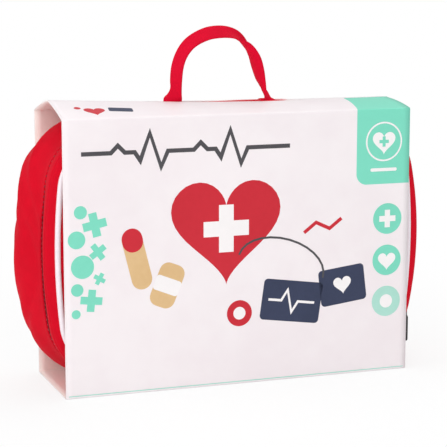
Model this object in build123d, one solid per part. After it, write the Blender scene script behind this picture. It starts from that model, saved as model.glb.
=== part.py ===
from build123d import *

import os
from math import atan2, cos, pi, radians, sin, sqrt, tan

# A toy doctor case: a soft zipped case in a card sleeve, with its handle through a slit in the
# sleeve's top and the wooden and card toys held inside.
# Millimetres. X runs to the right, Y to the back and Z up. The origin is on the ground, in the
# middle of the sleeve's footprint.

# ---------------------------------------------------------------- driving dimensions
# soft case, outside
CASE_WIDTH = 307.0
CASE_HEIGHT = 196.4
CASE_DEPTH = 77.8
PANEL_RISE = 4.3            # how far the front and back panels swell past their seams
SIDE_SWELL = 20.6           # how far the ends swell past the seams
TOP_SWELL = 15.4            # how far the top and the bottom swell past the seams
ZIP_PINCH = 12.6            # how far the ends are drawn in again at the zip
ZIP_TOP_PINCH = 7.0         # the same at the top and the bottom
CROWN_Y = 5.0               # depth at which the case is widest
CROWN_CORNER = 58.0         # corner and side radii at the widest depth, at the zip and at the seams
CROWN_SIDE = 185.0
ZIP_CORNER = 46.0
ZIP_SIDE = 378.0
SEAM_CORNER = 36.0
SEAM_SIDE = 440.0
TOP_CROWN = 2600.0          # radius of the nearly flat top and bottom edges
FABRIC = 2.2                # padded cloth
PIPING_RADIUS = 2.1
PANEL_SHOULDER = 13.0       # width of the rounded border of a panel

# zip
ZIP_Y = -19.6               # depth of the zip's middle line
TAPE_WIDTH = 3.6            # visible width of each tape
TAPE_SINK = 1.3             # how deep the tapes lie below the cloth
TAPE = 0.7
TOOTH_PITCH = 3.6
TOOTH_LENGTH = 1.9
TOOTH_REACH = 1.7
TOOTH_HEIGHT = 1.1
ZIP_END_HEIGHT = 26.0       # the zip stops here, above the hinge of the lid
SLIDER_START = 8.5          # degrees below the middle of the side where the slider is parked
SLIDER_LENGTH = 9.0
SLIDER_WALL = 0.9
SLIDER_GAP = 0.35
PULLER_WIRE = 0.8           # radius of the wire link
PULLER_LINK = 9.0
PULLER_TAB_LENGTH = 20.0
PULLER_TAB_WIDTH = 6.4
PULLER_TAB = 2.6

# card sleeve
CASE_SHOWS = 23.5           # how far each end of the case stands out of the sleeve
TRAY_HEIGHT = 160.0         # the sleeve is straight up to here, and its ridge springs up above
CARD = 0.8
SLEEVE_GAP = 0.6            # between the case and the card, front and back
FLOOR_GAP = 0.4             # between the case and the card it stands on
RIDGE_GAP = 1.0             # between the case and the ridge of the sleeve's top
RIDGE_RISE = 4.6            # height of the ridge over the top folds, at the right end
RIDGE_SPRING = 5.6          # how much further the ridge springs up at the left end
RIDGE_BELLY = 1.0           # how far each half of the top bows up
FOLD_RADIUS = 1.2
SLIT_LENGTH = 123.4
SLIT_WIDTH = 3.2
SLIT_X = 2.3
GLUE_FLAP = 13.0

# handle
STRAP_WIDTH = 9.4
STRAP = 1.2
HANDLE_RISE = 49.0          # height of the strap's middle line over its hinge line
HANDLE_LEFT = -36.2         # where the strap's two feet stand
HANDLE_RIGHT = 34.8
HINGE_GAP = 0.5             # hinge line over the ridge, and between strap and tab
PATCH = 0.7
PATCH_REACH = 11.0

# inside
LINING = 1.5
LINING_GAP = 0.3            # between a lining board and the cloth round it
SEAT_GAP = 0.3              # between a toy and what holds it
BAND_HEIGHT = 18.0
BAND = 0.9
BAND_END = 9.9              # between an end of the band and the end of the board
POCKET_WIDTH = 190.0
POCKET_HEIGHT = 78.0
POCKET_DEPTH = 12.0
POCKET = 1.0

# toys
SYRINGE_RADIUS = 10.5
SYRINGE_LENGTH = 66.0
SYRINGE_WALL = 1.8
PLUNGER_STROKE = 24.0
BOTTLE_RADIUS = 16.0
BOTTLE_HEIGHT = 48.0
TUBE_RADIUS = 12.0
TUBE_LENGTH = 82.0
TWEEZER_LENGTH = 118.0
TWEEZER_WIDTH = 9.0
TWEEZER_ARM = 5.0
CHEST_RADIUS = 18.0
HOSE_RADIUS = 3.0
EAR_TUBE_RADIUS = 2.0
DISH_LENGTH = 78.0
DISH_WIDTH = 44.0
DISH_DEPTH = 7.0
CARD_SHEET = 0.7

# ---------------------------------------------------------------- worked out from them
SEAM_Y = CASE_DEPTH / 2 - PANEL_RISE
CASE_BOTTOM = CARD + FLOOR_GAP
CASE_MIDDLE = CASE_BOTTOM + CASE_HEIGHT / 2
CASE_TOP = CASE_BOTTOM + CASE_HEIGHT
SLEEVE_LENGTH = CASE_WIDTH - 2 * CASE_SHOWS
SLEEVE_DEPTH = CASE_DEPTH + 2 * (SLEEVE_GAP + CARD)
RIDGE_LOW = CASE_TOP + RIDGE_GAP + CARD
FOLD_HEIGHT = RIDGE_LOW - RIDGE_RISE


class Outline:
    """A rounded rectangle with bowed sides: eight tangent arcs round a middle point."""

    def __init__(self, half_width, half_height, corner, side):
        self.sizes = (half_width, half_height, corner, side, TOP_CROWN)

    def arcs(self, inset=0.0):
        """Centres and tangent points of the first quarter, set in by a distance."""
        half_width, half_height, corner, side, top = (size - inset for size in self.sizes)
        side_centre = Vector(half_width - side, 0)
        top_centre = Vector(0, half_height - top)
        span = top_centre - side_centre
        reach, rest = side - corner, top - corner
        along = (span.length ** 2 + reach ** 2 - rest ** 2) / (2 * span.length)
        across = sqrt(reach ** 2 - along ** 2)
        forward = span.normalized()
        sideways = Vector(-forward.Y, forward.X)
        corner_centre = side_centre + forward * along + sideways * across
        low = side_centre + (corner_centre - side_centre).normalized() * side
        high = top_centre + (corner_centre - top_centre).normalized() * top
        middle = corner_centre + ((low + high) * 0.5 - corner_centre).normalized() * corner
        return half_width, half_height, low, middle, high

    def wire(self, y, inset=0.0):
        """The closed outline at a depth of the case."""
        half_width, half_height, low, middle, high = self.arcs(inset)
        edges = [
            ThreePointArc((low.X, -low.Y), (half_width, 0), (low.X, low.Y)),
            ThreePointArc((low.X, low.Y), (middle.X, middle.Y), (high.X, high.Y)),
            ThreePointArc((high.X, high.Y), (0, half_height), (-high.X, high.Y)),
            ThreePointArc((-high.X, high.Y), (-middle.X, middle.Y), (-low.X, low.Y)),
            ThreePointArc((-low.X, low.Y), (-half_width, 0), (-low.X, -low.Y)),
            ThreePointArc((-low.X, -low.Y), (-middle.X, -middle.Y), (-high.X, -high.Y)),
            ThreePointArc((-high.X, -high.Y), (0, -half_height), (high.X, -high.Y)),
            ThreePointArc((high.X, -high.Y), (middle.X, -middle.Y), (low.X, -low.Y)),
        ]
        return depth_plane(y) * Wire(edges)

    def face(self, y, inset=0.0):
        return Face(self.wire(y, inset))


def dome(radius, low, high):
    """The arc of a round top in profile, from its rim to its middle."""
    rise = high - low
    ball = (radius ** 2 + rise ** 2) / (2 * rise)
    half = atan2(radius, ball - rise) / 2
    return ThreePointArc((radius, low), (ball * sin(half), high - ball + ball * cos(half)), (0, high))


def depth_plane(y):
    """An upright plane across the case, with its middle at the case's middle."""
    return Plane((0, y, CASE_MIDDLE), x_dir=(1, 0, 0), z_dir=(0, -1, 0))


CROWN = Outline(CASE_WIDTH / 2, CASE_HEIGHT / 2, CROWN_CORNER, CROWN_SIDE)
ZIP = Outline(
    CASE_WIDTH / 2 - ZIP_PINCH, CASE_HEIGHT / 2 - ZIP_TOP_PINCH, ZIP_CORNER, ZIP_SIDE
)
SEAM = Outline(
    CASE_WIDTH / 2 - SIDE_SWELL, CASE_HEIGHT / 2 - TOP_SWELL, SEAM_CORNER, SEAM_SIDE
)


BACK_SHARES = (0.4, 0.7, 1.0)   # sections of the back gusset between the widest place and the seam


def between(first, second, share):
    """The outline that lies part of the way from one outline to another."""
    sizes = [a + (b - a) * share for a, b in zip(first.sizes[:4], second.sizes[:4])]
    return Outline(*sizes)


def slab(y_low, y_high, z_low=-50.0, z_high=400.0):
    """A wide block between two depths and two heights."""
    wide = 2 * CASE_WIDTH
    block = Box(wide, y_high - y_low, z_high - z_low, align=(Align.CENTER, Align.MIN, Align.MIN))
    return Pos(0, y_low, z_low) * block


def case_body(inset):
    """The swollen body of the case between its two seams, set in by a distance."""
    sections = [
        SEAM.face(-SEAM_Y, inset),
        ZIP.face(ZIP_Y - TAPE_WIDTH, inset),
        ZIP.face(ZIP_Y + TAPE_WIDTH, inset),
        CROWN.face(CROWN_Y, inset),
    ]
    for share in BACK_SHARES:
        outline = between(CROWN, SEAM, share ** 2)
        sections.append(outline.face(CROWN_Y + share * (SEAM_Y - CROWN_Y), inset))
    return loft(sections)


# ---------------------------------------------------------------- case shell
def gussets_and_tapes():
    """Front and back gusset, the two zip tapes and the cloth hinge under them."""
    outside = case_body(0.0)
    inside = case_body(FABRIC)
    wall = outside - inside
    front_edge = ZIP_Y - TAPE_WIDTH
    back_edge = ZIP_Y + TAPE_WIDTH
    tapes = zip_ring(TAPE_SINK) - zip_ring(TAPE_SINK + TAPE)
    seam_edge = SEAM_Y - PIPING_RADIUS
    return {
        "front_gusset": wall & slab(-seam_edge, front_edge),
        "back_gusset": wall & slab(back_edge, seam_edge),
        "lid_hinge_strip": wall & slab(front_edge, back_edge, z_high=ZIP_END_HEIGHT),
        "zip_tape_front": tapes & slab(front_edge, ZIP_Y, z_low=ZIP_END_HEIGHT),
        "zip_tape_back": tapes & slab(ZIP_Y, back_edge, z_low=ZIP_END_HEIGHT),
    }


def zip_ring(inset):
    """The straight-sided block inside the zip's outline, as deep as the two tapes."""
    face = ZIP.face(ZIP_Y + TAPE_WIDTH, inset)
    return extrude(face, 2 * TAPE_WIDTH, dir=(0, -1, 0))


def panel(side):
    """A padded panel that swells past its seam; side is -1 for the front, 1 for the back."""
    edge = SEAM.face(side * SEAM_Y, PIPING_RADIUS)
    shoulder = SEAM.face(side * (SEAM_Y + PANEL_RISE * 0.72), PANEL_SHOULDER * 0.45)
    crown = SEAM.face(side * (SEAM_Y + PANEL_RISE), PANEL_SHOULDER)
    backing = SEAM.face(side * (SEAM_Y - FABRIC), PIPING_RADIUS + LINING_GAP)
    return loft([edge, shoulder, crown]) + loft([backing, edge], ruled=True)


def piping(side):
    """The round cord sewn into the seam of a panel."""
    path = SEAM.wire(side * SEAM_Y)
    section = Plane(origin=path @ 0, z_dir=path % 0) * Circle(PIPING_RADIUS)
    return sweep(section, path=path)


# ---------------------------------------------------------------- zip
def zip_frame(wire, place):
    """A plane on the zip's line: X along it, Z away from the case."""
    point = wire @ place
    along = wire % place
    outward = Vector(0, 1, 0).cross(along)
    if outward.dot(point - Vector(0, ZIP_Y, CASE_MIDDLE)) < 0:
        outward = outward * -1
    return Plane(origin=point, x_dir=along, z_dir=outward)


def zip_line():
    """The closed line on the tapes that the teeth stand on."""
    return ZIP.wire(ZIP_Y, TAPE_SINK)


def zip_teeth():
    """Teeth of the closed zip, turn by turn from the front and the back tape."""
    wire = zip_line()
    tooth = extrude(Rectangle(TOOTH_LENGTH, TOOTH_REACH), TOOTH_HEIGHT, taper=14)
    count = int(wire.length / TOOTH_PITCH)
    teeth = []
    for number in range(count):
        frame = zip_frame(wire, (number + 0.5) / count)
        if frame.origin.Z < ZIP_END_HEIGHT + TOOTH_PITCH:
            continue
        lean = TOOTH_REACH * (0.32 if number % 2 else -0.32)
        spot = frame.location * Pos(0, lean, 0)
        teeth.append(spot * tooth)
    return Compound(children=teeth)


def zip_stops():
    """The two metal stops at the ends of the chain."""
    wire = zip_line()
    stops = []
    for side in (-1, 1):
        place = min(
            (step / 800 for step in range(800)),
            key=lambda u: abs((wire @ u).Z - ZIP_END_HEIGHT - TOOTH_LENGTH)
            + (500 if (wire @ u).X * side < 0 else 0),
        )
        block = Box(TOOTH_LENGTH, 2 * TOOTH_REACH, TOOTH_HEIGHT, align=(Align.CENTER, Align.CENTER, Align.MIN))
        stops.append(zip_frame(wire, place).location * block)
    return Compound(children=stops)


ZIP_RADIUS = ZIP_SIDE - TAPE_SINK
TRACK_X = CASE_WIDTH / 2 - ZIP_PINCH - ZIP_SIDE
SLIDER_TURN = radians(SLIDER_START)
SLIDER_AT = Vector(
    TRACK_X + ZIP_RADIUS * cos(SLIDER_TURN), ZIP_Y, CASE_MIDDLE - ZIP_RADIUS * sin(SLIDER_TURN)
)
SLIDER_FRAME = Plane(
    origin=SLIDER_AT,
    x_dir=(sin(SLIDER_TURN), 0, cos(SLIDER_TURN)),
    z_dir=(cos(SLIDER_TURN), 0, -sin(SLIDER_TURN)),
)
CHAIN_HALF = TOOTH_REACH * 0.82
SLIDER_ROOF = TOOTH_HEIGHT + SLIDER_GAP
LUG_RADIUS = PULLER_WIRE + SLIDER_GAP
LUG_HEIGHT = SLIDER_ROOF + SLIDER_WALL + LUG_RADIUS
LUG_WALL = 0.8
PIVOT = SLIDER_AT + SLIDER_FRAME.z_dir * LUG_HEIGHT


def zip_slider():
    """The slider: a waisted top plate, two cheeks beside the teeth and a lug for the puller."""
    half = CHAIN_HALF + SLIDER_GAP + SLIDER_WALL
    nose = Pos(SLIDER_LENGTH / 2 - half * 0.9, 0) * Circle(half * 1.15)
    tail = Pos(-SLIDER_LENGTH / 2 + half * 0.8, 0) * Circle(half)
    outline = make_hull((nose + tail).edges())
    shell = extrude(outline, SLIDER_ROOF + SLIDER_WALL - SLIDER_GAP)
    shell = Pos(0, 0, SLIDER_GAP) * shell
    channel = Box(2 * SLIDER_LENGTH, 2 * (CHAIN_HALF + SLIDER_GAP), 2 * SLIDER_ROOF)
    lug_outer = LUG_RADIUS + LUG_WALL
    lug = Pos(0, 0, LUG_HEIGHT) * Rot(90, 0, 0) * Cylinder(lug_outer, 1.8)
    foot = Pos(0, 0, (LUG_HEIGHT + SLIDER_ROOF) / 2) * Box(2 * lug_outer, 1.8, LUG_HEIGHT - SLIDER_ROOF)
    hole = Pos(0, 0, LUG_HEIGHT) * Rot(90, 0, 0) * Cylinder(LUG_RADIUS, 8)
    return SLIDER_FRAME.location * (shell - channel + lug + foot - hole)


def puller_parts():
    """The wire link through the slider's lug and the soft tab that hangs on it."""
    width = PULLER_TAB_WIDTH - 2 * PULLER_WIRE
    loop = Wire(RectangleRounded(PULLER_LINK, width, PULLER_WIRE * 1.6).wire())
    start = loop @ 0
    link = sweep(Plane(origin=start, z_dir=loop % 0) * Circle(PULLER_WIRE), path=loop)
    tab_top = -PULLER_LINK + 2.2 * PULLER_WIRE
    body = RectangleRounded(PULLER_TAB_LENGTH, PULLER_TAB_WIDTH + 1.0, 2.0)
    tab = extrude(body, PULLER_TAB / 2, both=True)
    tab = fillet(tab.faces().sort_by(Axis.Z)[-1].edges(), 0.5)
    tab = Pos(tab_top - PULLER_TAB_LENGTH / 2, 0, 0) * tab
    hanging = Plane(origin=PIVOT, x_dir=(0, 0, 1), z_dir=(1, 0, 0))
    link = Pos(-PULLER_LINK / 2, 0, 0) * link
    return {
        "zip_puller_link": hanging.location * link,
        "zip_puller_tab": hanging.location * (tab - link),
    }


# ---------------------------------------------------------------- sleeve
def sleeve_profile(x, ridge, inset):
    """The sleeve's section at a place along it: four folds and a ridge along the top."""
    half = SLEEVE_DEPTH / 2 - inset
    base, fold, top = inset, FOLD_HEIGHT - inset, ridge - inset
    slope = (top - fold) / 2 + fold + RIDGE_BELLY
    edges = [
        Line((-half, base), (half, base)),
        Line((half, base), (half, fold)),
        ThreePointArc((half, fold), (half / 2, slope), (0, top)),
        ThreePointArc((0, top), (-half / 2, slope), (-half, fold)),
        Line((-half, fold), (-half, base)),
    ]
    face = make_face(edges)
    corners = [point for point in face.vertices() if abs(point.X) > 1]
    face = fillet(corners, FOLD_RADIUS - 0.8 * inset)
    return Plane((x, 0, 0), x_dir=(0, 1, 0), z_dir=(1, 0, 0)) * face


def sleeve_solid(inset):
    """The closed form of the sleeve, set in by a distance."""
    half = SLEEVE_LENGTH / 2
    ridges = [
        (-half, RIDGE_LOW + RIDGE_SPRING),
        (-half * 0.3, RIDGE_LOW + RIDGE_SPRING * 0.32),
        (half, RIDGE_LOW),
    ]
    upper = loft([sleeve_profile(x, ridge, inset) for x, ridge in ridges])
    tray = Box(
        SLEEVE_LENGTH, SLEEVE_DEPTH - 2 * inset, TRAY_HEIGHT - inset,
        align=(Align.CENTER, Align.CENTER, Align.MIN),
    )
    tray = fillet(tray.faces().sort_by(Axis.Z)[0].edges().filter_by(Axis.X), FOLD_RADIUS - 0.8 * inset)
    return Pos(0, 0, inset) * tray + (upper & slab(-SLEEVE_DEPTH, SLEEVE_DEPTH, z_low=TRAY_HEIGHT))


def card_sleeve():
    """The card sleeve with the slit for the handle and its glued flap."""
    wall = sleeve_solid(0.0) - sleeve_solid(CARD)
    half_slit = SLIT_LENGTH / 2
    lens = make_face([
        ThreePointArc((-half_slit, 0), (0, SLIT_WIDTH / 2), (half_slit, 0)),
        ThreePointArc((half_slit, 0), (0, -SLIT_WIDTH / 2), (-half_slit, 0)),
    ])
    slit = Pos(SLIT_X, 0, FOLD_HEIGHT) * extrude(lens, 4 * RIDGE_RISE)
    flap = Box(
        SLEEVE_LENGTH - 2 * GLUE_FLAP, CARD, GLUE_FLAP,
        align=(Align.CENTER, Align.MAX, Align.MIN),
    )
    return wall - slit + Pos(0, SLEEVE_DEPTH / 2 - CARD, CARD) * flap


# ---------------------------------------------------------------- handle
HINGE_Z = RIDGE_LOW + 0.34 * RIDGE_SPRING + HINGE_GAP + STRAP / 2

# x, height over the hinge line, direction in degrees, twist in degrees
STRAP_ROUTE = [
    (HANDLE_LEFT, 0.0, 90, 0),
    (HANDLE_LEFT - 0.2, HANDLE_RISE * 0.24, 90, 0),
    (HANDLE_LEFT + 0.4, HANDLE_RISE * 0.46, 85, 0),
    (-32.6, HANDLE_RISE * 0.69, 63, 0),
    (-24.4, HANDLE_RISE * 0.87, 38, 0),
    (-12.6, HANDLE_RISE * 0.985, 14, 0),
    (0.4, HANDLE_RISE * 0.985, -10, 8),
    (12.0, HANDLE_RISE * 0.885, -38, 30),
    (20.9, HANDLE_RISE * 0.69, -58, 50),
    (26.5, HANDLE_RISE * 0.45, -72, 62),
    (30.3, HANDLE_RISE * 0.23, -72, 56),
    (HANDLE_RIGHT - 0.8, HANDLE_RISE * 0.09, -74, 28),
    (HANDLE_RIGHT, 0.0, -90, 0),
]


def strap_section(x, height, direction, twist):
    """A section of the strap, square to its line and turned about it."""
    turn = radians(direction)
    along = Vector(cos(turn), 0, sin(turn))
    face = Plane(origin=(x, 0, HINGE_Z + height), x_dir=Vector(-sin(turn), 0, cos(turn)), z_dir=along)
    return face * Rot(0, 0, twist) * Rectangle(STRAP_WIDTH, STRAP)


def handle_strap():
    """The webbing handle: one band that stands in an arch and twists down its right leg."""
    band = loft([strap_section(*station) for station in STRAP_ROUTE])
    for x in (HANDLE_LEFT, HANDLE_RIGHT):
        band += Pos(x, 0, HINGE_Z) * Rot(0, 90, 0) * Cylinder(STRAP / 2, STRAP_WIDTH)
    return band


def handle_tab(x):
    """A sewn end of the strap, from its patch on the case up to the hinge line."""
    top = HINGE_Z - STRAP / 2 - HINGE_GAP * 0.5
    low = CASE_TOP - 3.0
    strip = Pos(x, 0, low) * Box(STRAP_WIDTH, STRAP, top - low, align=(Align.CENTER, Align.CENTER, Align.MIN))
    reach = Pos(x, 0, CASE_TOP) * Box(STRAP_WIDTH, PATCH_REACH * 2, 12)
    patch = (case_body(-PATCH) & reach) + strip
    return patch - case_body(0.0)


# ---------------------------------------------------------------- linings and holders
BOARD_Y = SEAM_Y - FABRIC - LINING_GAP - LINING
BOARD_HALF = CASE_WIDTH / 2 - SIDE_SWELL - FABRIC - LINING_GAP


def lining_board(side):
    """The stiff board behind a panel."""
    face = SEAM.face(side * BOARD_Y, FABRIC + LINING_GAP)
    outward = (0, side, 0)
    return extrude(face, LINING, dir=outward)


class Seat:
    """A toy's place behind the elastic band: its middle and its half widths in plan."""

    def __init__(self, x, half_width, depth, rounded=True):
        self.x, self.half_width, self.depth, self.rounded = x, half_width, depth, rounded
        self.y = BOARD_Y - SEAT_GAP - half_width if rounded else BOARD_Y - SEAT_GAP - depth / 2

    def space(self, grown):
        """The room in plan that the band goes round."""
        half = self.half_width + grown
        front = BOARD_Y - SEAT_GAP - self.depth - grown
        if not self.rounded:
            return Pos(self.x, (front + BOARD_Y) / 2) * Rectangle(2 * half, BOARD_Y - front)
        block = Pos(self.x, (self.y + BOARD_Y) / 2) * Rectangle(2 * half, BOARD_Y - self.y)
        return Pos(self.x, self.y) * Circle(half) + block


SYRINGE = Seat(-BOARD_HALF + 33.4, SYRINGE_RADIUS, 2 * SYRINGE_RADIUS)
BOTTLE = Seat(-BOARD_HALF + 69.4, BOTTLE_RADIUS, 2 * BOTTLE_RADIUS)
TUBE = Seat(-BOARD_HALF + 106.4, TUBE_RADIUS, 2 * TUBE_RADIUS)
TWEEZERS = Seat(6.0, 10.5, TWEEZER_WIDTH, rounded=False)
EAR_TUBES = Seat(BOARD_HALF - 80.4, 17.5, 2 * EAR_TUBE_RADIUS, rounded=False)
HOSE = Seat(BOARD_HALF - 29.9, 6.0, 2 * HOSE_RADIUS, rounded=False)
SEATS = (SYRINGE, BOTTLE, TUBE, TWEEZERS, EAR_TUBES, HOSE)


def elastic_band():
    """The elastic band sewn to the back board, bulging over each toy."""
    strip = Pos(0, BOARD_Y - BAND / 2) * Rectangle(2 * (BOARD_HALF - BAND_END), BAND)
    for seat in SEATS:
        strip += seat.space(SEAT_GAP + BAND)
    for seat in SEATS:
        strip -= seat.space(SEAT_GAP)
    strip -= Pos(0, BOARD_Y + 10) * Rectangle(CASE_WIDTH, 20)
    return Pos(0, 0, CASE_MIDDLE - BAND_HEIGHT / 2) * extrude(strip, BAND_HEIGHT)


POCKET_FLOOR = CASE_MIDDLE - POCKET_HEIGHT + 6.0


def pocket_block(inset, extra=0.0):
    block = Box(
        POCKET_WIDTH - 2 * inset, POCKET_DEPTH - inset, POCKET_HEIGHT - inset + extra,
        align=(Align.CENTER, Align.MIN, Align.MIN),
    )
    return Pos(0, -BOARD_Y, POCKET_FLOOR + inset) * block


def lid_pocket():
    """The open-topped pocket on the lid's board."""
    corners = pocket_block(0.0).edges().filter_by(Axis.Y).sort_by(Axis.Z)[:2]
    return fillet(corners, 8.0) - pocket_block(POCKET, 5.0)


# ---------------------------------------------------------------- toys
def syringe_parts():
    """Barrel with its nozzle and finger grip, and the plunger with its ring."""
    bottom = CASE_MIDDLE - SYRINGE_LENGTH * 0.48
    top = bottom + SYRINGE_LENGTH
    bore = SYRINGE_RADIUS - SYRINGE_WALL
    profile = make_face(Polyline(
        (0, -10), (1.8, -10), (2.6, 0), (SYRINGE_RADIUS - 2, 0), (SYRINGE_RADIUS, 2),
        (SYRINGE_RADIUS, SYRINGE_LENGTH), (bore, SYRINGE_LENGTH), (bore, 3), (0, 3), (0, -10),
    ))
    spot = Pos(SYRINGE.x, SYRINGE.y, bottom)
    barrel = revolve(Plane.XZ * profile, Axis.Z)
    grip = extrude(SlotOverall(SYRINGE_RADIUS * 3.1, SYRINGE_RADIUS * 1.9), 3) - Cylinder(bore, 12)
    barrel += Pos(0, 0, SYRINGE_LENGTH - 3) * grip
    piston_low = 3 + PLUNGER_STROKE + SEAT_GAP
    rod_top = SYRINGE_LENGTH + PLUNGER_STROKE + 2
    turned = make_face(Polyline(
        (0, piston_low), (bore - SEAT_GAP, piston_low), (bore - SEAT_GAP, piston_low + 6),
        (3.2, piston_low + 9), (3.2, rod_top), (0, rod_top), (0, piston_low),
    ))
    plunger = revolve(Plane.XZ * turned, Axis.Z)
    plunger += Pos(0, 0, rod_top + 8.5) * Rot(90, 0, 0) * Torus(8.5, 2.6)
    return {"syringe_barrel": spot * barrel, "syringe_plunger": spot * plunger}


def bottle_parts():
    """Turned wooden bottle and its knob."""
    neck = BOTTLE_RADIUS * 0.56
    body = make_face([
        Polyline((0, 0), (BOTTLE_RADIUS - 2, 0), (BOTTLE_RADIUS, 2), (BOTTLE_RADIUS, BOTTLE_HEIGHT - 9)),
        ThreePointArc(
            (BOTTLE_RADIUS, BOTTLE_HEIGHT - 9), (BOTTLE_RADIUS * 0.88, BOTTLE_HEIGHT - 3),
            (neck, BOTTLE_HEIGHT),
        ),
        Polyline((neck, BOTTLE_HEIGHT), (0, BOTTLE_HEIGHT), (0, 0)),
    ])
    knob_radius = BOTTLE_RADIUS * 0.8
    knob = make_face([
        Polyline((0, 0), (knob_radius * 0.9, 0), (knob_radius, 2), (knob_radius, 10)),
        dome(knob_radius, 10, 17),
        Line((0, 17), (0, 0)),
    ])
    spot = Pos(BOTTLE.x, BOTTLE.y, CASE_MIDDLE - BOTTLE_HEIGHT * 0.62)
    return {
        "bottle_body": spot * revolve(Plane.XZ * body, Axis.Z),
        "bottle_knob": spot * Pos(0, 0, BOTTLE_HEIGHT) * revolve(Plane.XZ * knob, Axis.Z),
    }


def ointment_parts():
    """Wooden tube: round at the cap and flat at the far end, as a squeezed tube is."""
    straight = TUBE_LENGTH * 0.45
    barrel = Cylinder(TUBE_RADIUS - 0.5, straight, align=(Align.CENTER, Align.CENTER, Align.MIN))
    crimp = loft([
        Pos(0, 0, straight) * Circle(TUBE_RADIUS - 0.5),
        Pos(0, 0, TUBE_LENGTH) * Ellipse(TUBE_RADIUS + 0.4, 2.2),
    ])
    cap = Cylinder(TUBE_RADIUS, 13, align=(Align.CENTER, Align.CENTER, Align.MAX))
    cap = chamfer(cap.edges().filter_by(GeomType.CIRCLE), 1.0)
    spot = Pos(TUBE.x, TUBE.y, CASE_MIDDLE - straight * 0.6)
    return {"ointment_tube": spot * (barrel + crimp), "ointment_cap": spot * cap}


TWEEZER_LOW = CASE_MIDDLE - TWEEZER_LENGTH * 0.5
TWEEZER_OPENING = 5.0
TWEEZER_HINGE = Vector(TWEEZERS.x + 1.0 + TWEEZER_ARM / 2, TWEEZERS.y, TWEEZER_LOW + 8.0)


def tweezer_arms():
    """Two wooden arms; the right one turns on the heel block of the left one."""
    arm = Box(TWEEZER_ARM, TWEEZER_WIDTH, TWEEZER_LENGTH, align=(Align.CENTER, Align.CENTER, Align.MIN))
    arm = chamfer(arm.faces().sort_by(Axis.Z)[-1].edges().filter_by(Axis.Y), 2.0)
    left = Pos(TWEEZERS.x - 5.0, TWEEZERS.y, TWEEZER_LOW) * arm
    heel_width = TWEEZER_HINGE.X - TWEEZER_ARM / 2 - SEAT_GAP - (TWEEZERS.x - 5.0 + TWEEZER_ARM / 2)
    heel = Pos(TWEEZERS.x - 5.0 + TWEEZER_ARM / 2, TWEEZERS.y, TWEEZER_LOW) * Box(
        heel_width, TWEEZER_WIDTH, 16.0, align=(Align.MIN, Align.CENTER, Align.MIN)
    )
    right = Pos(0, 0, -8.0) * arm
    right = Location(TWEEZER_HINGE) * Rot(0, 1.6, 0) * right
    return {"tweezer_arm_left": left + heel, "tweezer_arm_right": right - Pos(-SEAT_GAP, 0, 0) * heel}


# the hose from the chest piece up and over to the yoke, measured from its seat and the ground
HOSE_ROUTE = [
    (HOSE.x + across, height)
    for across, height in [(-1.5, 86.0), (1.0, 126.0), (-3.0, 168.0), (-47.5, 170.0), (-50.5, 127.0)]
]


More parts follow.
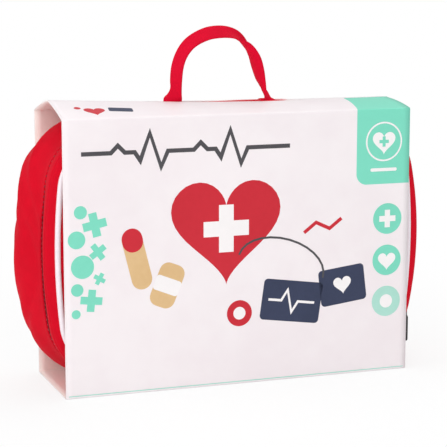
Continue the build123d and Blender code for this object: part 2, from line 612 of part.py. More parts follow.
def stethoscope_parts():
    """Chest piece, hose, yoke, ear tubes and ear tips, laid flat on the back board."""
    hose_y = BOARD_Y - SEAT_GAP - HOSE_RADIUS
    flat = Plane((0, hose_y, 0), x_dir=(1, 0, 0), z_dir=(0, -1, 0))
    chest_x = HOSE_ROUTE[0][0]
    stem_top = HOSE_ROUTE[0][1]
    chest_z = stem_top - CHEST_RADIUS - 8.0
    profile = make_face([
        Polyline((0, -3), (CHEST_RADIUS - 5, -3), (CHEST_RADIUS, 1), (CHEST_RADIUS, 3.5)),
        Polyline((CHEST_RADIUS, 3.5), (CHEST_RADIUS - 1.5, 3.5), (CHEST_RADIUS - 1.5, 2.5)),
        Polyline((CHEST_RADIUS - 1.5, 2.5), (0, 2.5), (0, -3)),
    ])
    chest = revolve(Plane.XY * profile, Axis.Y)
    chest = Location((chest_x, hose_y, chest_z), (180, 0, 0)) * chest
    radii = hose_radii()
    path = flat * FilletPolyline(*HOSE_ROUTE, radius=radii)
    stem = Cylinder(HOSE_RADIUS, 9.5, align=(Align.CENTER, Align.CENTER, Align.MAX))
    chest += Plane(origin=path @ 0, z_dir=path % 0).location * stem
    disc = Rot(90, 0, 0) * Cylinder(CHEST_RADIUS - 1.8, 0.8)
    disc = Pos(chest_x, hose_y - 2.95, chest_z) * disc
    hose = sweep(Plane(origin=path @ 0, z_dir=path % 0) * Circle(HOSE_RADIUS), path=path)
    expected = pi * HOSE_RADIUS ** 2 * path.length
    print("hose length", round(path.length, 1), "radii", [round(r, 1) for r in radii])
    print("hose volume over expected", round(hose.volume / expected, 4))
    yoke_x, yoke_top = HOSE_ROUTE[-1]
    yoke = make_hull((
        Pos(yoke_x, yoke_top - 7) * Circle(4) + Pos(yoke_x - 4.5, yoke_top - 14) * Circle(3.4)
        + Pos(yoke_x + 4.5, yoke_top - 14) * Circle(3.4)
    ).edges())
    collar = Cylinder(HOSE_RADIUS, 7.0, align=(Align.CENTER, Align.CENTER, Align.MIN))
    yoke = extrude(flat * yoke, HOSE_RADIUS, both=True)
    yoke += Plane(origin=path @ 1, z_dir=path % 1).location * collar
    parts = {"chest_piece": chest, "chest_diaphragm": disc, "stethoscope_hose": hose}
    ear_y = BOARD_Y - SEAT_GAP - EAR_TUBE_RADIUS
    ear_flat = Plane((0, ear_y, 0), x_dir=(1, 0, 0), z_dir=(0, -1, 0))
    for name, side in (("left", -1), ("right", 1)):
        start = (yoke_x + side * 4.5, yoke_top - 14)
        end = (yoke_x + side * 9.0, yoke_top - 68)
        line = ear_flat * ThreePointArc(start, (yoke_x + side * 14.5, yoke_top - 42), end)
        tube = sweep(Plane(origin=line @ 0, z_dir=line % 0) * Circle(EAR_TUBE_RADIUS), path=line)
        yoke -= tube
        tip = revolve(Plane.XZ * make_face([
            Polyline((0, 0), (3.0, 0), (4.0, 3.5)),
            ThreePointArc((4.0, 3.5), (2.9, 7.8), (0, 9.5)),
            Line((0, 9.5), (0, 0)),
        ]), Axis.Z)
        ear_end = Plane(origin=line @ 1, z_dir=line % 1)
        parts[f"ear_tube_{name}"] = tube
        parts[f"ear_tip_{name}"] = ear_end.location * tip & slab(-BOARD_Y, BOARD_Y - SEAT_GAP)
    parts["stethoscope_yoke"] = yoke
    return parts


def hose_radii():
    """Arc radii of the hose: as large as the runs beside each corner allow."""
    radii = []
    for before, corner, after in zip(HOSE_ROUTE, HOSE_ROUTE[1:], HOSE_ROUTE[2:]):
        first = Vector(*corner) - Vector(*before)
        second = Vector(*after) - Vector(*corner)
        turn = radians(first.get_angle(second))
        radii.append(0.45 * min(first.length, second.length) / tan(turn / 2))
    return radii


def pocket_toys():
    """Cards, plasters and the oval dish standing in the lid's pocket."""
    floor = POCKET_FLOOR + POCKET + SEAT_GAP
    back = -BOARD_Y + SEAT_GAP
    step = CARD_SHEET + SEAT_GAP

    def sheet(x, width, height, layer, corner):
        face = Pos(x, floor + height / 2) * RectangleRounded(width, height, corner)
        plane = Plane((0, back + layer * step, 0), x_dir=(1, 0, 0), z_dir=(0, -1, 0))
        return extrude(plane * face, -CARD_SHEET)

    xray = [sheet(-40.0, 96.0, 66.0, layer, 2.0) for layer in (0, 1)]
    plasters = [sheet(x, 18.0, 56.0, 0, 8.9) for x in (26.0, 47.0, 68.0)]
    dish_y = back + 3 * step + DISH_DEPTH / 2
    dish_plane = Plane((-38.0, dish_y, floor + DISH_WIDTH / 2), x_dir=(1, 0, 0), z_dir=(0, -1, 0))

    def oval(rim, depth):
        return Pos(0, 0, depth) * Ellipse(DISH_LENGTH / 2 - rim, DISH_WIDTH / 2 - rim)

    half = DISH_DEPTH / 2
    bowl = loft([oval(2.0, -half), oval(0.0, half)])
    hollow = loft([oval(6.0, 2.2 - half), oval(3.2, half)])
    dish = dish_plane.location * (bowl - hollow)
    return {
        "xray_cards": Compound(children=xray),
        "plasters": Compound(children=plasters),
        "prescription_card": sheet(-40.0, 62.0, 46.0, 2, 1.5),
        "oval_dish": dish,
    }


def doctor_cap():
    """The doctor's cap, folded flat and stood on the floor of the case behind the pocket."""
    y = -BOARD_Y + POCKET_DEPTH + SEAT_GAP
    plane = Plane((0, y, 0), x_dir=(1, 0, 0), z_dir=(0, -1, 0))
    outline = make_face([
        Polyline((-66, 60), (-66, 0), (66, 0), (66, 60)),
        ThreePointArc((66, 60), (0, 74), (-66, 60)),
    ])
    plate = extrude(plane * outline, -3.6)
    return plate & case_body(FABRIC + SEAT_GAP)


def main():
    os.makedirs("parts", exist_ok=True)
    nodes = {}
    nodes.update(gussets_and_tapes())
    nodes["front_panel"] = panel(-1)
    nodes["back_panel"] = panel(1)
    nodes["front_piping"] = piping(-1)
    nodes["back_piping"] = piping(1)
    nodes["zip_teeth"] = zip_teeth()
    nodes["zip_stops"] = zip_stops()
    nodes["zip_slider"] = zip_slider()
    nodes.update(puller_parts())
    nodes["card_sleeve"] = card_sleeve()
    nodes["handle_strap"] = handle_strap()
    nodes["handle_tab_left"] = handle_tab(HANDLE_LEFT)
    nodes["handle_tab_right"] = handle_tab(HANDLE_RIGHT)
    nodes["front_board"] = lining_board(-1)
    nodes["back_board"] = lining_board(1)
    nodes["elastic_band"] = elastic_band()
    nodes["lid_pocket"] = lid_pocket()
    nodes.update(syringe_parts())
    nodes.update(bottle_parts())
    nodes.update(ointment_parts())
    nodes.update(tweezer_arms())
    nodes.update(stethoscope_parts())
    nodes.update(pocket_toys())
    nodes["doctor_cap"] = doctor_cap()
    for name, solid in nodes.items():
        export_step(solid, f"parts/{name}.step")
    print("hinge line", round(HINGE_Z, 3), "ridge", round(RIDGE_LOW, 3), "sleeve depth", round(SLEEVE_DEPTH, 2))
    print("zip track", round(TRACK_X, 3), "pivot", [round(v, 3) for v in PIVOT])
    print("tweezer hinge", [round(v, 3) for v in TWEEZER_HINGE])


main()
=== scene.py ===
"""The looks of a soft toy doctor case in its card sleeve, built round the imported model.

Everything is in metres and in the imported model's frame: X to the right, Y to the back, Z up.
"""
import logging
import math
from dataclasses import dataclass
from enum import Enum
from typing import Callable, Sequence

import bmesh
import bpy
from mathutils import Matrix, Vector, noise
from mathutils.bvhtree import BVHTree


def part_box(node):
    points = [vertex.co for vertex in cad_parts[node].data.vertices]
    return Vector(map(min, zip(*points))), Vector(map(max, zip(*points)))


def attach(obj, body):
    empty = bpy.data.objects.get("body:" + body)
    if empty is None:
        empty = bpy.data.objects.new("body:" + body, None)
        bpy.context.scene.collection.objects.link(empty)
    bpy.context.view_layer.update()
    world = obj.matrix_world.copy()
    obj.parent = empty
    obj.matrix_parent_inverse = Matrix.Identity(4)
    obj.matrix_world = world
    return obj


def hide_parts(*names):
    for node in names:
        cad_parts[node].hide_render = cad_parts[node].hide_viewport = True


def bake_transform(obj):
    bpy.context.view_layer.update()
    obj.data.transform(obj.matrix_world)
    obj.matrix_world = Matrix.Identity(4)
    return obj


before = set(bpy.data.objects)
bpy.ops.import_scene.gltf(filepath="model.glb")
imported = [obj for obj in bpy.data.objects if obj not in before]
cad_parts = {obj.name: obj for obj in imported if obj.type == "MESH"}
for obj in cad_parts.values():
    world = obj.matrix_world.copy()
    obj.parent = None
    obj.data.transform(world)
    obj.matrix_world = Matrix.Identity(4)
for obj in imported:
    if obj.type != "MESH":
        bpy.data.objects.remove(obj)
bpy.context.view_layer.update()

MM = 0.001
LOG = logging.getLogger("doctor_case")

Socket = bpy.types.NodeSocket
Place = Callable[[int, int], Vector]
Outline = Sequence[tuple[float, float]]


class Body(Enum):
    """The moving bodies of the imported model."""

    CASE = "case"
    SLEEVE = "sleeve"
    HANDLE = "handle"
    SLIDER = "slider"
    PULLER = "puller"
    PLUNGER = "plunger"
    TWEEZER = "tweezer_arm"


class Slot(Enum):
    """The record's material slots."""

    CARD = "card"
    CLOTH = "red_cloth"
    PIPING = "white_piping"
    TAPE = "zip_tape"
    TEETH = "zip_teeth"
    METAL = "zip_metal"
    RUBBER = "puller_rubber"
    WEBBING = "webbing"
    LINING = "lining"
    ELASTIC = "elastic"
    WHITE_PLASTIC = "white_plastic"
    RED_PLASTIC = "red_plastic"
    WOOD = "bare_wood"
    RED_WOOD = "red_paint_wood"
    HOSE = "white_hose"
    DARK_CARD = "dark_card"
    PLASTER = "tan_cloth"
    WHITE_CLOTH = "white_cloth"


def smooth_step(low: float, high: float, value: float) -> float:
    """A soft step from 0 at low to 1 at high.

    Args:
        low: Where the step starts.
        high: Where the step ends.
        value: The place that is asked for.

    Returns:
        The height of the step there, from 0 to 1.
    """
    share = min(1.0, max(0.0, (value - low) / (high - low)))
    return share * share * (3 - 2 * share)


def linear(red: int, green: int, blue: int) -> tuple[float, float, float, float]:
    """Turns a colour as a printer would name it, 0 to 255, into scene light.

    Args:
        red: Red part.
        green: Green part.
        blue: Blue part.

    Returns:
        The linear colour with full alpha.
    """
    parts = [c / 255 for c in (red, green, blue)]
    light = [c / 12.92 if c <= 0.04045 else ((c + 0.055) / 1.055) ** 2.4 for c in parts]
    return light[0], light[1], light[2], 1.0


# ------------------------------------------------------------------------------ meshes
def lattice(columns: int, rows: int, place: Place, size: tuple[float, float]) -> bmesh.types.BMesh:
    """A sheet: a plain grid whose points are moved to where place puts them.

    Args:
        columns: Number of faces along the sheet.
        rows: Number of faces across it.
        place: Gives the point for a column and a row number.
        size: Length and width of the flat sheet, which its UV map keeps in metres.

    Returns:
        The sheet, welded where its ends meet.
    """
    sheet = bmesh.new()
    bmesh.ops.create_grid(sheet, x_segments=columns, y_segments=rows, size=0.5)
    layer = sheet.loops.layers.uv.new("Sheet")
    for face in sheet.faces:
        for loop in face.loops:
            loop[layer].uv = ((loop.vert.co.x + 0.5) * size[0], (loop.vert.co.y + 0.5) * size[1])
    for vert in sheet.verts:
        column, row = (vert.co.x + 0.5) * columns, (vert.co.y + 0.5) * rows
        vert.co = place(round(column), round(row))
    bmesh.ops.remove_doubles(sheet, verts=sheet.verts, dist=1e-6)
    bmesh.ops.recalc_face_normals(sheet, faces=sheet.faces)
    return sheet


def as_piece(name: str, shape: bmesh.types.BMesh, smooth: bool = True) -> bpy.types.Object:
    """Makes a scene object at the origin from a bmesh, which it frees.

    Args:
        name: Name of the piece.
        shape: The finished mesh.
        smooth: Whether its faces are shaded smooth.

    Returns:
        The new object.
    """
    mesh = bpy.data.meshes.new(name)
    shape.to_mesh(mesh)
    shape.free()
    for face in mesh.polygons:
        face.use_smooth = smooth
    piece = bpy.data.objects.new(name, mesh)
    bpy.context.scene.collection.objects.link(piece)
    return piece


def apply_modifiers(piece: bpy.types.Object) -> None:
    """Bakes the modifiers of a piece into its mesh.

    Args:
        piece: The piece that carries the modifiers.
    """
    graph = bpy.context.evaluated_depsgraph_get()
    baked = bpy.data.meshes.new_from_object(piece.evaluated_get(graph))
    piece.modifiers.clear()
    piece.data = baked


def wall(piece: bpy.types.Object, thickness: float, inner: int = 0, rim: int = 0, even: bool = True) -> None:
    """Gives a sheet its thickness, inwards from its outer face.

    Args:
        piece: The sheet.
        thickness: Thickness in metres.
        inner: Material slots between the outer and the inner face.
        rim: Material slots between the outer face and the cut edge.
        even: Whether the thickness is kept across sharp folds.
    """
    solid = piece.modifiers.new("wall", "SOLIDIFY")
    solid.thickness = thickness
    solid.offset = -1.0
    solid.use_even_offset = even
    solid.material_offset = inner
    solid.material_offset_rim = rim


def rounded(piece: bpy.types.Object, levels: int = 1) -> None:
    """Adds a subdivision surface with like levels in view and render.

    Args:
        piece: The piece to smooth.
        levels: Number of subdivisions.
    """
    soft = piece.modifiers.new("rounded", "SUBSURF")
    soft.levels = levels
    soft.render_levels = levels


def settle(
    piece: bpy.types.Object, body: Body, slot: Slot, materials: Sequence[bpy.types.Material],
    stands_for: Sequence[str] = (),
) -> bpy.types.Object:
    """Gives a finished piece its body and its materials, and hides the nodes it stands for.

    Args:
        piece: The finished piece.
        body: The body it moves with.
        slot: The record's slot of its finish.
        materials: Its materials, in the order of its faces' numbers.
        stands_for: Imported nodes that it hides.

    Returns:
        The same piece.
    """
    dress(piece, slot, materials)
    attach(piece, body.value)
    if stands_for:
        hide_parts(*stands_for)
    LOG.info("made %s on %s", piece.name, body.value)
    return piece


def dress(piece: bpy.types.Object, slot: Slot, materials: Sequence[bpy.types.Material]) -> None:
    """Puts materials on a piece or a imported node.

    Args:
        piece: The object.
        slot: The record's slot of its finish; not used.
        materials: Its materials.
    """
    piece.data.materials.clear()
    for material in materials:
        piece.data.materials.append(material)


# ------------------------------------------------------------------------------ shader trees
class Shading:
    """A node tree that is filled one node at a time."""

    def __init__(self, tree: bpy.types.NodeTree) -> None:
        """Takes an empty or a new tree."""
        self.tree = tree

    def node(self, kind: str, inputs: dict | None = None, **settings: object) -> bpy.types.Node:
        """Adds a node.

        Args:
            kind: Blender's name for the node's type.
            inputs: Values or sockets for its inputs, by name or number.
            settings: Its own settings.

        Returns:
            The node.
        """
        node = self.tree.nodes.new(kind)
        for name, value in settings.items():
            setattr(node, name, value)
        for key, value in (inputs or {}).items():
            if isinstance(value, bpy.types.NodeSocket):
                self.tree.links.new(value, node.inputs[key])
            else:
                node.inputs[key].default_value = value
        return node

    def math(self, operation: str, *values: float | Socket, clamp: bool = False) -> Socket:
        """Adds a Math node and returns its result."""
        node = self.node("ShaderNodeMath", dict(enumerate(values)), operation=operation, use_clamp=clamp)
        return node.outputs[0]

    def vector(self, operation: str, *values: object) -> Socket:
        """Adds a Vector Math node and returns its vector."""
        return self.node("ShaderNodeVectorMath", dict(enumerate(values)), operation=operation).outputs[0]

    def split(self, vector: Socket) -> tuple[Socket, Socket, Socket]:
        """Separates a vector into its three numbers."""
        outputs = self.node("ShaderNodeSeparateXYZ", {0: vector}).outputs
        return outputs[0], outputs[1], outputs[2]

    def ramp(self, value: Socket, low: float, high: float, first: float = 0.0, last: float = 1.0) -> Socket:
        """Adds a smooth Map Range node and returns its result."""
        inputs = {"Value": value, "From Min": low, "From Max": high, "To Min": first, "To Max": last}
        return self.node("ShaderNodeMapRange", inputs, interpolation_type="SMOOTHSTEP").outputs[0]

    def mix(self, share: float | Socket, first: object, second: object) -> Socket:
        """Mixes two colours and returns the colour."""
        inputs = {"Factor": share, 6: first, 7: second}
        return self.node("ShaderNodeMix", inputs, data_type="RGBA").outputs[2]

    def clouds(self, vector: Socket, scale: float, detail: float = 3.0) -> Socket:
        """Adds Perlin noise and returns its value."""
        inputs = {"Vector": vector, "Scale": scale, "Detail": detail}
        return self.node("ShaderNodeTexNoise", inputs).outputs["Fac"]

    def group(self, tree: bpy.types.NodeTree, inputs: dict) -> bpy.types.Node:
        """Places a node group with its own values."""
        node = self.tree.nodes.new("ShaderNodeGroup")
        node.node_tree = tree
        for key, value in inputs.items():
            if isinstance(value, bpy.types.NodeSocket):
                self.tree.links.new(value, node.inputs[key])
            else:
                node.inputs[key].default_value = value
        return node


def new_group(name: str, inputs: dict[str, str], outputs: dict[str, str]) -> tuple[Shading, dict, bpy.types.Node]:
    """Starts a shader node group.

    Args:
        name: Name of the group.
        inputs: Input names and their socket types.
        outputs: Output names and their socket types.

    Returns:
        The shading helper, the input sockets by name and the output node.
    """
    tree = bpy.data.node_groups.new(name, "ShaderNodeTree")
    for label, kind in inputs.items():
        tree.interface.new_socket(label, in_out="INPUT", socket_type=kind)
    for label, kind in outputs.items():
        tree.interface.new_socket(label, in_out="OUTPUT", socket_type=kind)
    shading = Shading(tree)
    entry = tree.nodes.new("NodeGroupInput")
    leaving = tree.nodes.new("NodeGroupOutput")
    return shading, {label: entry.outputs[label] for label in inputs}, leaving


FLOAT, VECTOR = "NodeSocketFloat", "NodeSocketVector"


def weave_group() -> bpy.types.NodeTree:
    """A plain weave of warp and weft threads: its height and the gaps between the threads."""
    shading, given, leaving = new_group(
        "plain_weave", {"Place": VECTOR, "Thread": FLOAT}, {"Height": FLOAT, "Gap": FLOAT}
    )
    scaled = shading.node("ShaderNodeVectorMath", {0: given["Place"]}, operation="SCALE")
    shading.tree.links.new(shading.math("DIVIDE", 1.0, given["Thread"]), scaled.inputs["Scale"])
    u, v, _ = shading.split(scaled.outputs[0])
    hump_u = shading.math("SINE", shading.math("MULTIPLY", shading.math("FRACT", u), math.pi))
    hump_v = shading.math("SINE", shading.math("MULTIPLY", shading.math("FRACT", v), math.pi))
    cells = shading.math("ADD", shading.math("FLOOR", u), shading.math("FLOOR", v))
    over = shading.math("FLOORED_MODULO", cells, 2.0)
    warp = shading.math("MULTIPLY", hump_u, shading.math("MULTIPLY_ADD", hump_v, 0.45, 0.55))
    weft = shading.math("MULTIPLY", hump_v, shading.math("MULTIPLY_ADD", hump_u, 0.45, 0.55))
    difference = shading.math("SUBTRACT", warp, weft)
    height = shading.math("MULTIPLY_ADD", difference, over, weft)
    gap = shading.math("SUBTRACT", 1.0, shading.math("MAXIMUM", hump_u, hump_v))
    shading.tree.links.new(height, leaving.inputs["Height"])
    shading.tree.links.new(gap, leaving.inputs["Gap"])
    return shading.tree


def twill_group() -> bpy.types.NodeTree:
    """The slanting ribs of a narrow woven band."""
    shading, given, leaving = new_group("twill", {"Place": VECTOR, "Rib": FLOAT}, {"Height": FLOAT})
    u, v, _ = shading.split(given["Place"])
    slant = shading.math("DIVIDE", shading.math("ADD", u, v), given["Rib"])
    along = shading.math("DIVIDE", shading.math("SUBTRACT", u, v), given["Rib"])
    rib = shading.math("ABSOLUTE", shading.math("SINE", shading.math("MULTIPLY", slant, math.pi)))
    bead = shading.math("ABSOLUTE", shading.math("SINE", shading.math("MULTIPLY", along, math.pi)))
    height = shading.math("MULTIPLY_ADD", bead, 0.35, shading.math("MULTIPLY", rib, 0.65))
    shading.tree.links.new(height, leaving.inputs["Height"])
    return shading.tree


def mottle_group() -> bpy.types.NodeTree:
    """Slow, uneven variation over a surface: a mask from 0 to 1 at two scales."""
    shading, given, leaving = new_group(
        "mottle", {"Place": VECTOR, "Coarse": FLOAT, "Fine": FLOAT}, {"Mask": FLOAT}
    )
    coarse = shading.node("ShaderNodeTexNoise", {"Vector": given["Place"], "Scale": given["Coarse"], "Detail": 3.0})
    fine = shading.node("ShaderNodeTexNoise", {"Vector": given["Place"], "Scale": given["Fine"], "Detail": 2.0})
    small = shading.math("MULTIPLY", fine.outputs["Fac"], 0.35)
    both = shading.math("MULTIPLY_ADD", coarse.outputs["Fac"], 0.65, small)
    shading.tree.links.new(shading.ramp(both, 0.32, 0.68), leaving.inputs["Mask"])
    return shading.tree


WEAVE = weave_group()
TWILL = twill_group()
MOTTLE = mottle_group()


def new_material(name: str) -> tuple[Shading, bpy.types.Node]:
    """Starts a material.

    Args:
        name: Name of the material.

    Returns:
        Its shading helper and its Principled BSDF.
    """
    material = bpy.data.materials.new(name)
    material.use_nodes = True
    shading = Shading(material.node_tree)
    shader = next(n for n in material.node_tree.nodes if n.type == "BSDF_PRINCIPLED")
    return shading, shader


def owner(shading: Shading) -> bpy.types.Material:
    """The material whose tree a shading helper fills."""
    return next(m for m in bpy.data.materials if m.node_tree == shading.tree)


@dataclass(frozen=True)
class ClothFinish:
    """Woven cloth: its colour, thread size, relief and gloss, with painted shade in the gaps between its threads."""

    name: str
    colour: tuple[float, float, float, float]
    shade: tuple[float, float, float, float]
    thread: float = 0.45 * MM
    relief: float = 0.05 * MM
    roughness: float = 0.78
    sheen: float = 0.02
    twill: bool = False
    on_sheet: bool = True

    def material(self) -> bpy.types.Material:
        """Builds the material of the cloth."""
        shading, shader = new_material(self.name)
        spot = shading.node("ShaderNodeTexCoord")
        place = spot.outputs["UV" if self.on_sheet else "Object"]
        if not self.on_sheet:
            x, y, z = shading.split(place)
            place = shading.node("ShaderNodeCombineXYZ", {0: x, 1: z, 2: y}).outputs[0]
        if self.twill:
            woven = shading.group(TWILL, {"Place": place, "Rib": self.thread})
            painted_gap_shade = shading.math("SUBTRACT", 1.0, woven.outputs["Height"])
        else:
            woven = shading.group(WEAVE, {"Place": place, "Thread": self.thread})
            painted_gap_shade = woven.outputs["Gap"]
        cloud = shading.group(MOTTLE, {"Place": spot.outputs["Object"], "Coarse": 22.0, "Fine": 160.0})
        colour = shading.mix(shading.math("MULTIPLY", cloud.outputs["Mask"], 0.35), self.colour, self.shade)
        # Painted shade: the gaps and low parts between the threads are mixed towards the darker colour.
        colour = shading.mix(shading.math("MULTIPLY", painted_gap_shade, 0.4, clamp=True), colour, self.shade)
        shading.tree.links.new(colour, shader.inputs["Base Color"])
        bump = shading.node(
            "ShaderNodeBump", {"Height": woven.outputs["Height"], "Distance": self.relief, "Strength": 0.6}
        )
        shading.tree.links.new(bump.outputs["Normal"], shader.inputs["Normal"])
        shader.inputs["Roughness"].default_value = self.roughness
        shader.inputs["Sheen Weight"].default_value = self.sheen
        shader.inputs["Sheen Roughness"].default_value = 0.45
        shader.inputs["Specular IOR Level"].default_value = 0.12
        return owner(shading)


@dataclass(frozen=True)
class PlainFinish:
    """A moulded, painted or printed surface with slight unevenness."""

    name: str
    colour: tuple[float, float, float, float]
    shade: tuple[float, float, float, float]
    roughness: float = 0.4
    grain: float = 900.0
    relief: float = 0.01 * MM
    metallic: float = 0.0
    coat: float = 0.0

    def material(self) -> bpy.types.Material:
        """Builds the material."""
        shading, shader = new_material(self.name)
        spot = shading.node("ShaderNodeTexCoord").outputs["Object"]
        cloud = shading.group(MOTTLE, {"Place": spot, "Coarse": 30.0, "Fine": self.grain * 0.3})
        colour = shading.mix(shading.math("MULTIPLY", cloud.outputs["Mask"], 0.5), self.colour, self.shade)
        shading.tree.links.new(colour, shader.inputs["Base Color"])
        rough = shading.ramp(cloud.outputs["Mask"], 0.0, 1.0, self.roughness * 0.9, self.roughness * 1.12)
        shading.tree.links.new(rough, shader.inputs["Roughness"])
        bump = shading.node(
            "ShaderNodeBump",
            {"Height": shading.clouds(spot, self.grain), "Distance": self.relief, "Strength": 0.5},
        )
        shading.tree.links.new(bump.outputs["Normal"], shader.inputs["Normal"])
        shader.inputs["Metallic"].default_value = self.metallic
        shader.inputs["Coat Weight"].default_value = self.coat
        shader.inputs["Coat Roughness"].default_value = 0.15
        return owner(shading)


@dataclass(frozen=True)
class WoodFinish:
    """Sanded wood with its grain along the Z axis."""

    name: str
    pale: tuple[float, float, float, float]
    dark: tuple[float, float, float, float]
    roughness: float = 0.5

    def material(self) -> bpy.types.Material:
        """Builds the material of the wood."""
        shading, shader = new_material(self.name)
        spot = shading.node("ShaderNodeTexCoord").outputs["Object"]
        drawn = shading.node("ShaderNodeMapping", {"Vector": spot, "Scale": (1.0, 1.0, 0.07)}).outputs[0]
        rings = shading.clouds(drawn, 260.0, 4.0)
        pores = shading.clouds(drawn, 1500.0, 2.0)
        mask = shading.math("MULTIPLY_ADD", rings, 0.75, shading.math("MULTIPLY", pores, 0.25))
        colour = shading.mix(shading.ramp(mask, 0.35, 0.68), self.pale, self.dark)
        shading.tree.links.new(colour, shader.inputs["Base Color"])
        bump = shading.node("ShaderNodeBump", {"Height": pores, "Distance": 0.04 * MM, "Strength": 0.4})
        shading.tree.links.new(bump.outputs["Normal"], shader.inputs["Normal"])
        shader.inputs["Roughness"].default_value = self.roughness
        return owner(shading)


@dataclass(frozen=True)
class CardFinish:
    """The printed outside of the sleeve: pale card with one mint corner."""

    paper: tuple[float, float, float, float] = linear(247, 240, 242)
    shade: tuple[float, float, float, float] = linear(243, 234, 237)
    mint: tuple[float, float, float, float] = linear(126, 222, 196)
    tab_left: float = 88.0 * MM
    tab_bottom: float = 140.0 * MM
    tab_corner: float = 8.0 * MM
    lean: float = -7.0 * MM
    edge: float = 0.12 * MM

    def material(self, depth: float) -> bpy.types.Material:
        """Builds the card's outside.

        Args:
            depth: Half the depth of the sleeve.

        Returns:
            The material.
        """
        shading, shader = new_material("sleeve_print")
        spot = shading.node("ShaderNodeTexCoord").outputs["Object"]
        x, y, z = shading.split(spot)
        cloud = shading.group(MOTTLE, {"Place": spot, "Coarse": 9.0, "Fine": 60.0})
        paper = shading.mix(cloud.outputs["Mask"], self.paper, self.shade)
        inward = shading.math("ADD", y, depth)
        rise = shading.math("DIVIDE", inward, depth)
        bowed = shading.math("MULTIPLY", shading.math("POWER", shading.math("MAXIMUM", rise, 0.0), 0.8), self.lean)
        left = shading.math("ADD", x, bowed)
        across = shading.math("SUBTRACT", self.tab_left + self.tab_corner, left)
        up = shading.math("SUBTRACT", self.tab_bottom + self.tab_corner, z)
        outside_x = shading.math("MAXIMUM", across, 0.0)
        outside_z = shading.math("MAXIMUM", up, 0.0)
        reach = shading.math(
            "SQRT", shading.math("MULTIPLY_ADD", outside_x, outside_x, shading.math("MULTIPLY", outside_z, outside_z))
        )
        inside = shading.ramp(reach, self.tab_corner + self.edge, self.tab_corner - self.edge)
        in_front = shading.math("LESS_THAN", y, 0.0)
        tab = shading.math("MULTIPLY", inside, in_front)
        colour = shading.mix(tab, paper, self.mint)
        shading.tree.links.new(colour, shader.inputs["Base Color"])
        fibres = shading.clouds(spot, 1400.0, 2.0)
        bump = shading.node("ShaderNodeBump", {"Height": fibres, "Distance": 0.02 * MM, "Strength": 0.35})
        shading.tree.links.new(bump.outputs["Normal"], shader.inputs["Normal"])
        shader.inputs["Roughness"].default_value = 0.46
        shader.inputs["Specular IOR Level"].default_value = 0.4
        return owner(shading)


RED = linear(216, 0, 34)
DEEP_RED = linear(184, 0, 26)

CLOTH = ClothFinish("red_cloth", RED, DEEP_RED).material()
PANEL_CLOTH = ClothFinish("panel_cloth", RED, DEEP_RED, on_sheet=False).material()
TAPE_CLOTH = ClothFinish("tape_cloth", linear(122, 0, 16), linear(84, 0, 11), thread=0.6 * MM).material()
WEBBING = ClothFinish(
    "webbing", linear(226, 0, 46), linear(186, 0, 34), thread=0.9 * MM, relief=0.12 * MM, twill=True
).material()
# White piping; its faint pink tint is a painted reflection of the red cloth.
PIPING = PlainFinish("piping", linear(242, 234, 240), linear(234, 222, 230), roughness=0.34, grain=500.0).material()
# White card inside; its pale pink tint is a painted reflection of the red case.
SLEEVE_INSIDE = PlainFinish(
    "sleeve_inside", linear(254, 240, 234), linear(252, 234, 228), roughness=0.55, grain=1400.0
).material()
RAW_EDGE = PlainFinish("raw_card_edge", linear(250, 246, 245), linear(240, 226, 226), roughness=0.8).material()
TEETH = PlainFinish("zip_teeth", linear(140, 0, 18), linear(104, 0, 14), roughness=0.42).material()
ZIP_METAL = PlainFinish("zip_metal", linear(58, 56, 60), linear(38, 37, 40), roughness=0.32, metallic=0.6).material()
RUBBER = PlainFinish("puller_rubber", linear(46, 44, 48), linear(36, 35, 38), roughness=0.6).material()
LINING = ClothFinish("lining", linear(196, 26, 40), linear(160, 14, 28), on_sheet=False).material()
ELASTIC = ClothFinish("elastic", linear(240, 237, 236), linear(214, 210, 210), thread=0.8 * MM).material()
WHITE_PLASTIC = PlainFinish("white_plastic", linear(244, 244, 243), linear(236, 236, 236), roughness=0.25).material()
RED_PLASTIC = PlainFinish("red_plastic", linear(216, 22, 34), linear(196, 14, 26), roughness=0.25).material()
BARE_WOOD = WoodFinish("bare_wood", linear(228, 192, 140), linear(203, 158, 104)).material()
RED_WOOD = PlainFinish("red_wood", linear(210, 24, 34), linear(188, 16, 26), roughness=0.35, coat=0.2).material()
HOSE_RUBBER = PlainFinish("hose", linear(240, 240, 240), linear(226, 226, 228), roughness=0.4).material()
DARK_CARD = PlainFinish("dark_card", linear(40, 48, 72), linear(30, 36, 56), roughness=0.3).material()
WHITE_CARD = PlainFinish("white_card", linear(248, 246, 244), linear(240, 236, 234), roughness=0.5).material()
PLASTER = ClothFinish("plaster", linear(226, 178, 140), linear(206, 156, 118), on_sheet=False).material()
WHITE_FELT = ClothFinish("white_felt", linear(244, 243, 242), linear(228, 227, 227), on_sheet=False).material()
INKS = {
    "red": PlainFinish("ink_red", linear(206, 12, 40), linear(196, 8, 34), roughness=0.45).material(),
    "white": PlainFinish("ink_white", linear(250, 246, 246), linear(244, 240, 240), roughness=0.45).material(),
    "mint": PlainFinish("ink_mint", linear(126, 222, 196), linear(118, 214, 188), roughness=0.45).material(),
    "pale_mint": PlainFinish("ink_pale", linear(176, 226, 212), linear(168, 220, 204), roughness=0.45).material(),
    "grey": PlainFinish("ink_grey", linear(74, 72, 76), linear(66, 64, 68), roughness=0.45).material(),
    "navy": PlainFinish("ink_navy", linear(42, 52, 84), linear(34, 44, 72), roughness=0.45).material(),
    "tan": PlainFinish("ink_tan", linear(226, 190, 138), linear(216, 176, 122), roughness=0.45).material(),
}


# ------------------------------------------------------------------------------ the case's form
def packed_tree(node: str) -> BVHTree:
    """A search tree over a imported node's surface."""
    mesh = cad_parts[node].data
    points = [v.co.copy() for v in mesh.vertices]
    return BVHTree.FromPolygons(points, [tuple(p.vertices) for p in mesh.polygons])


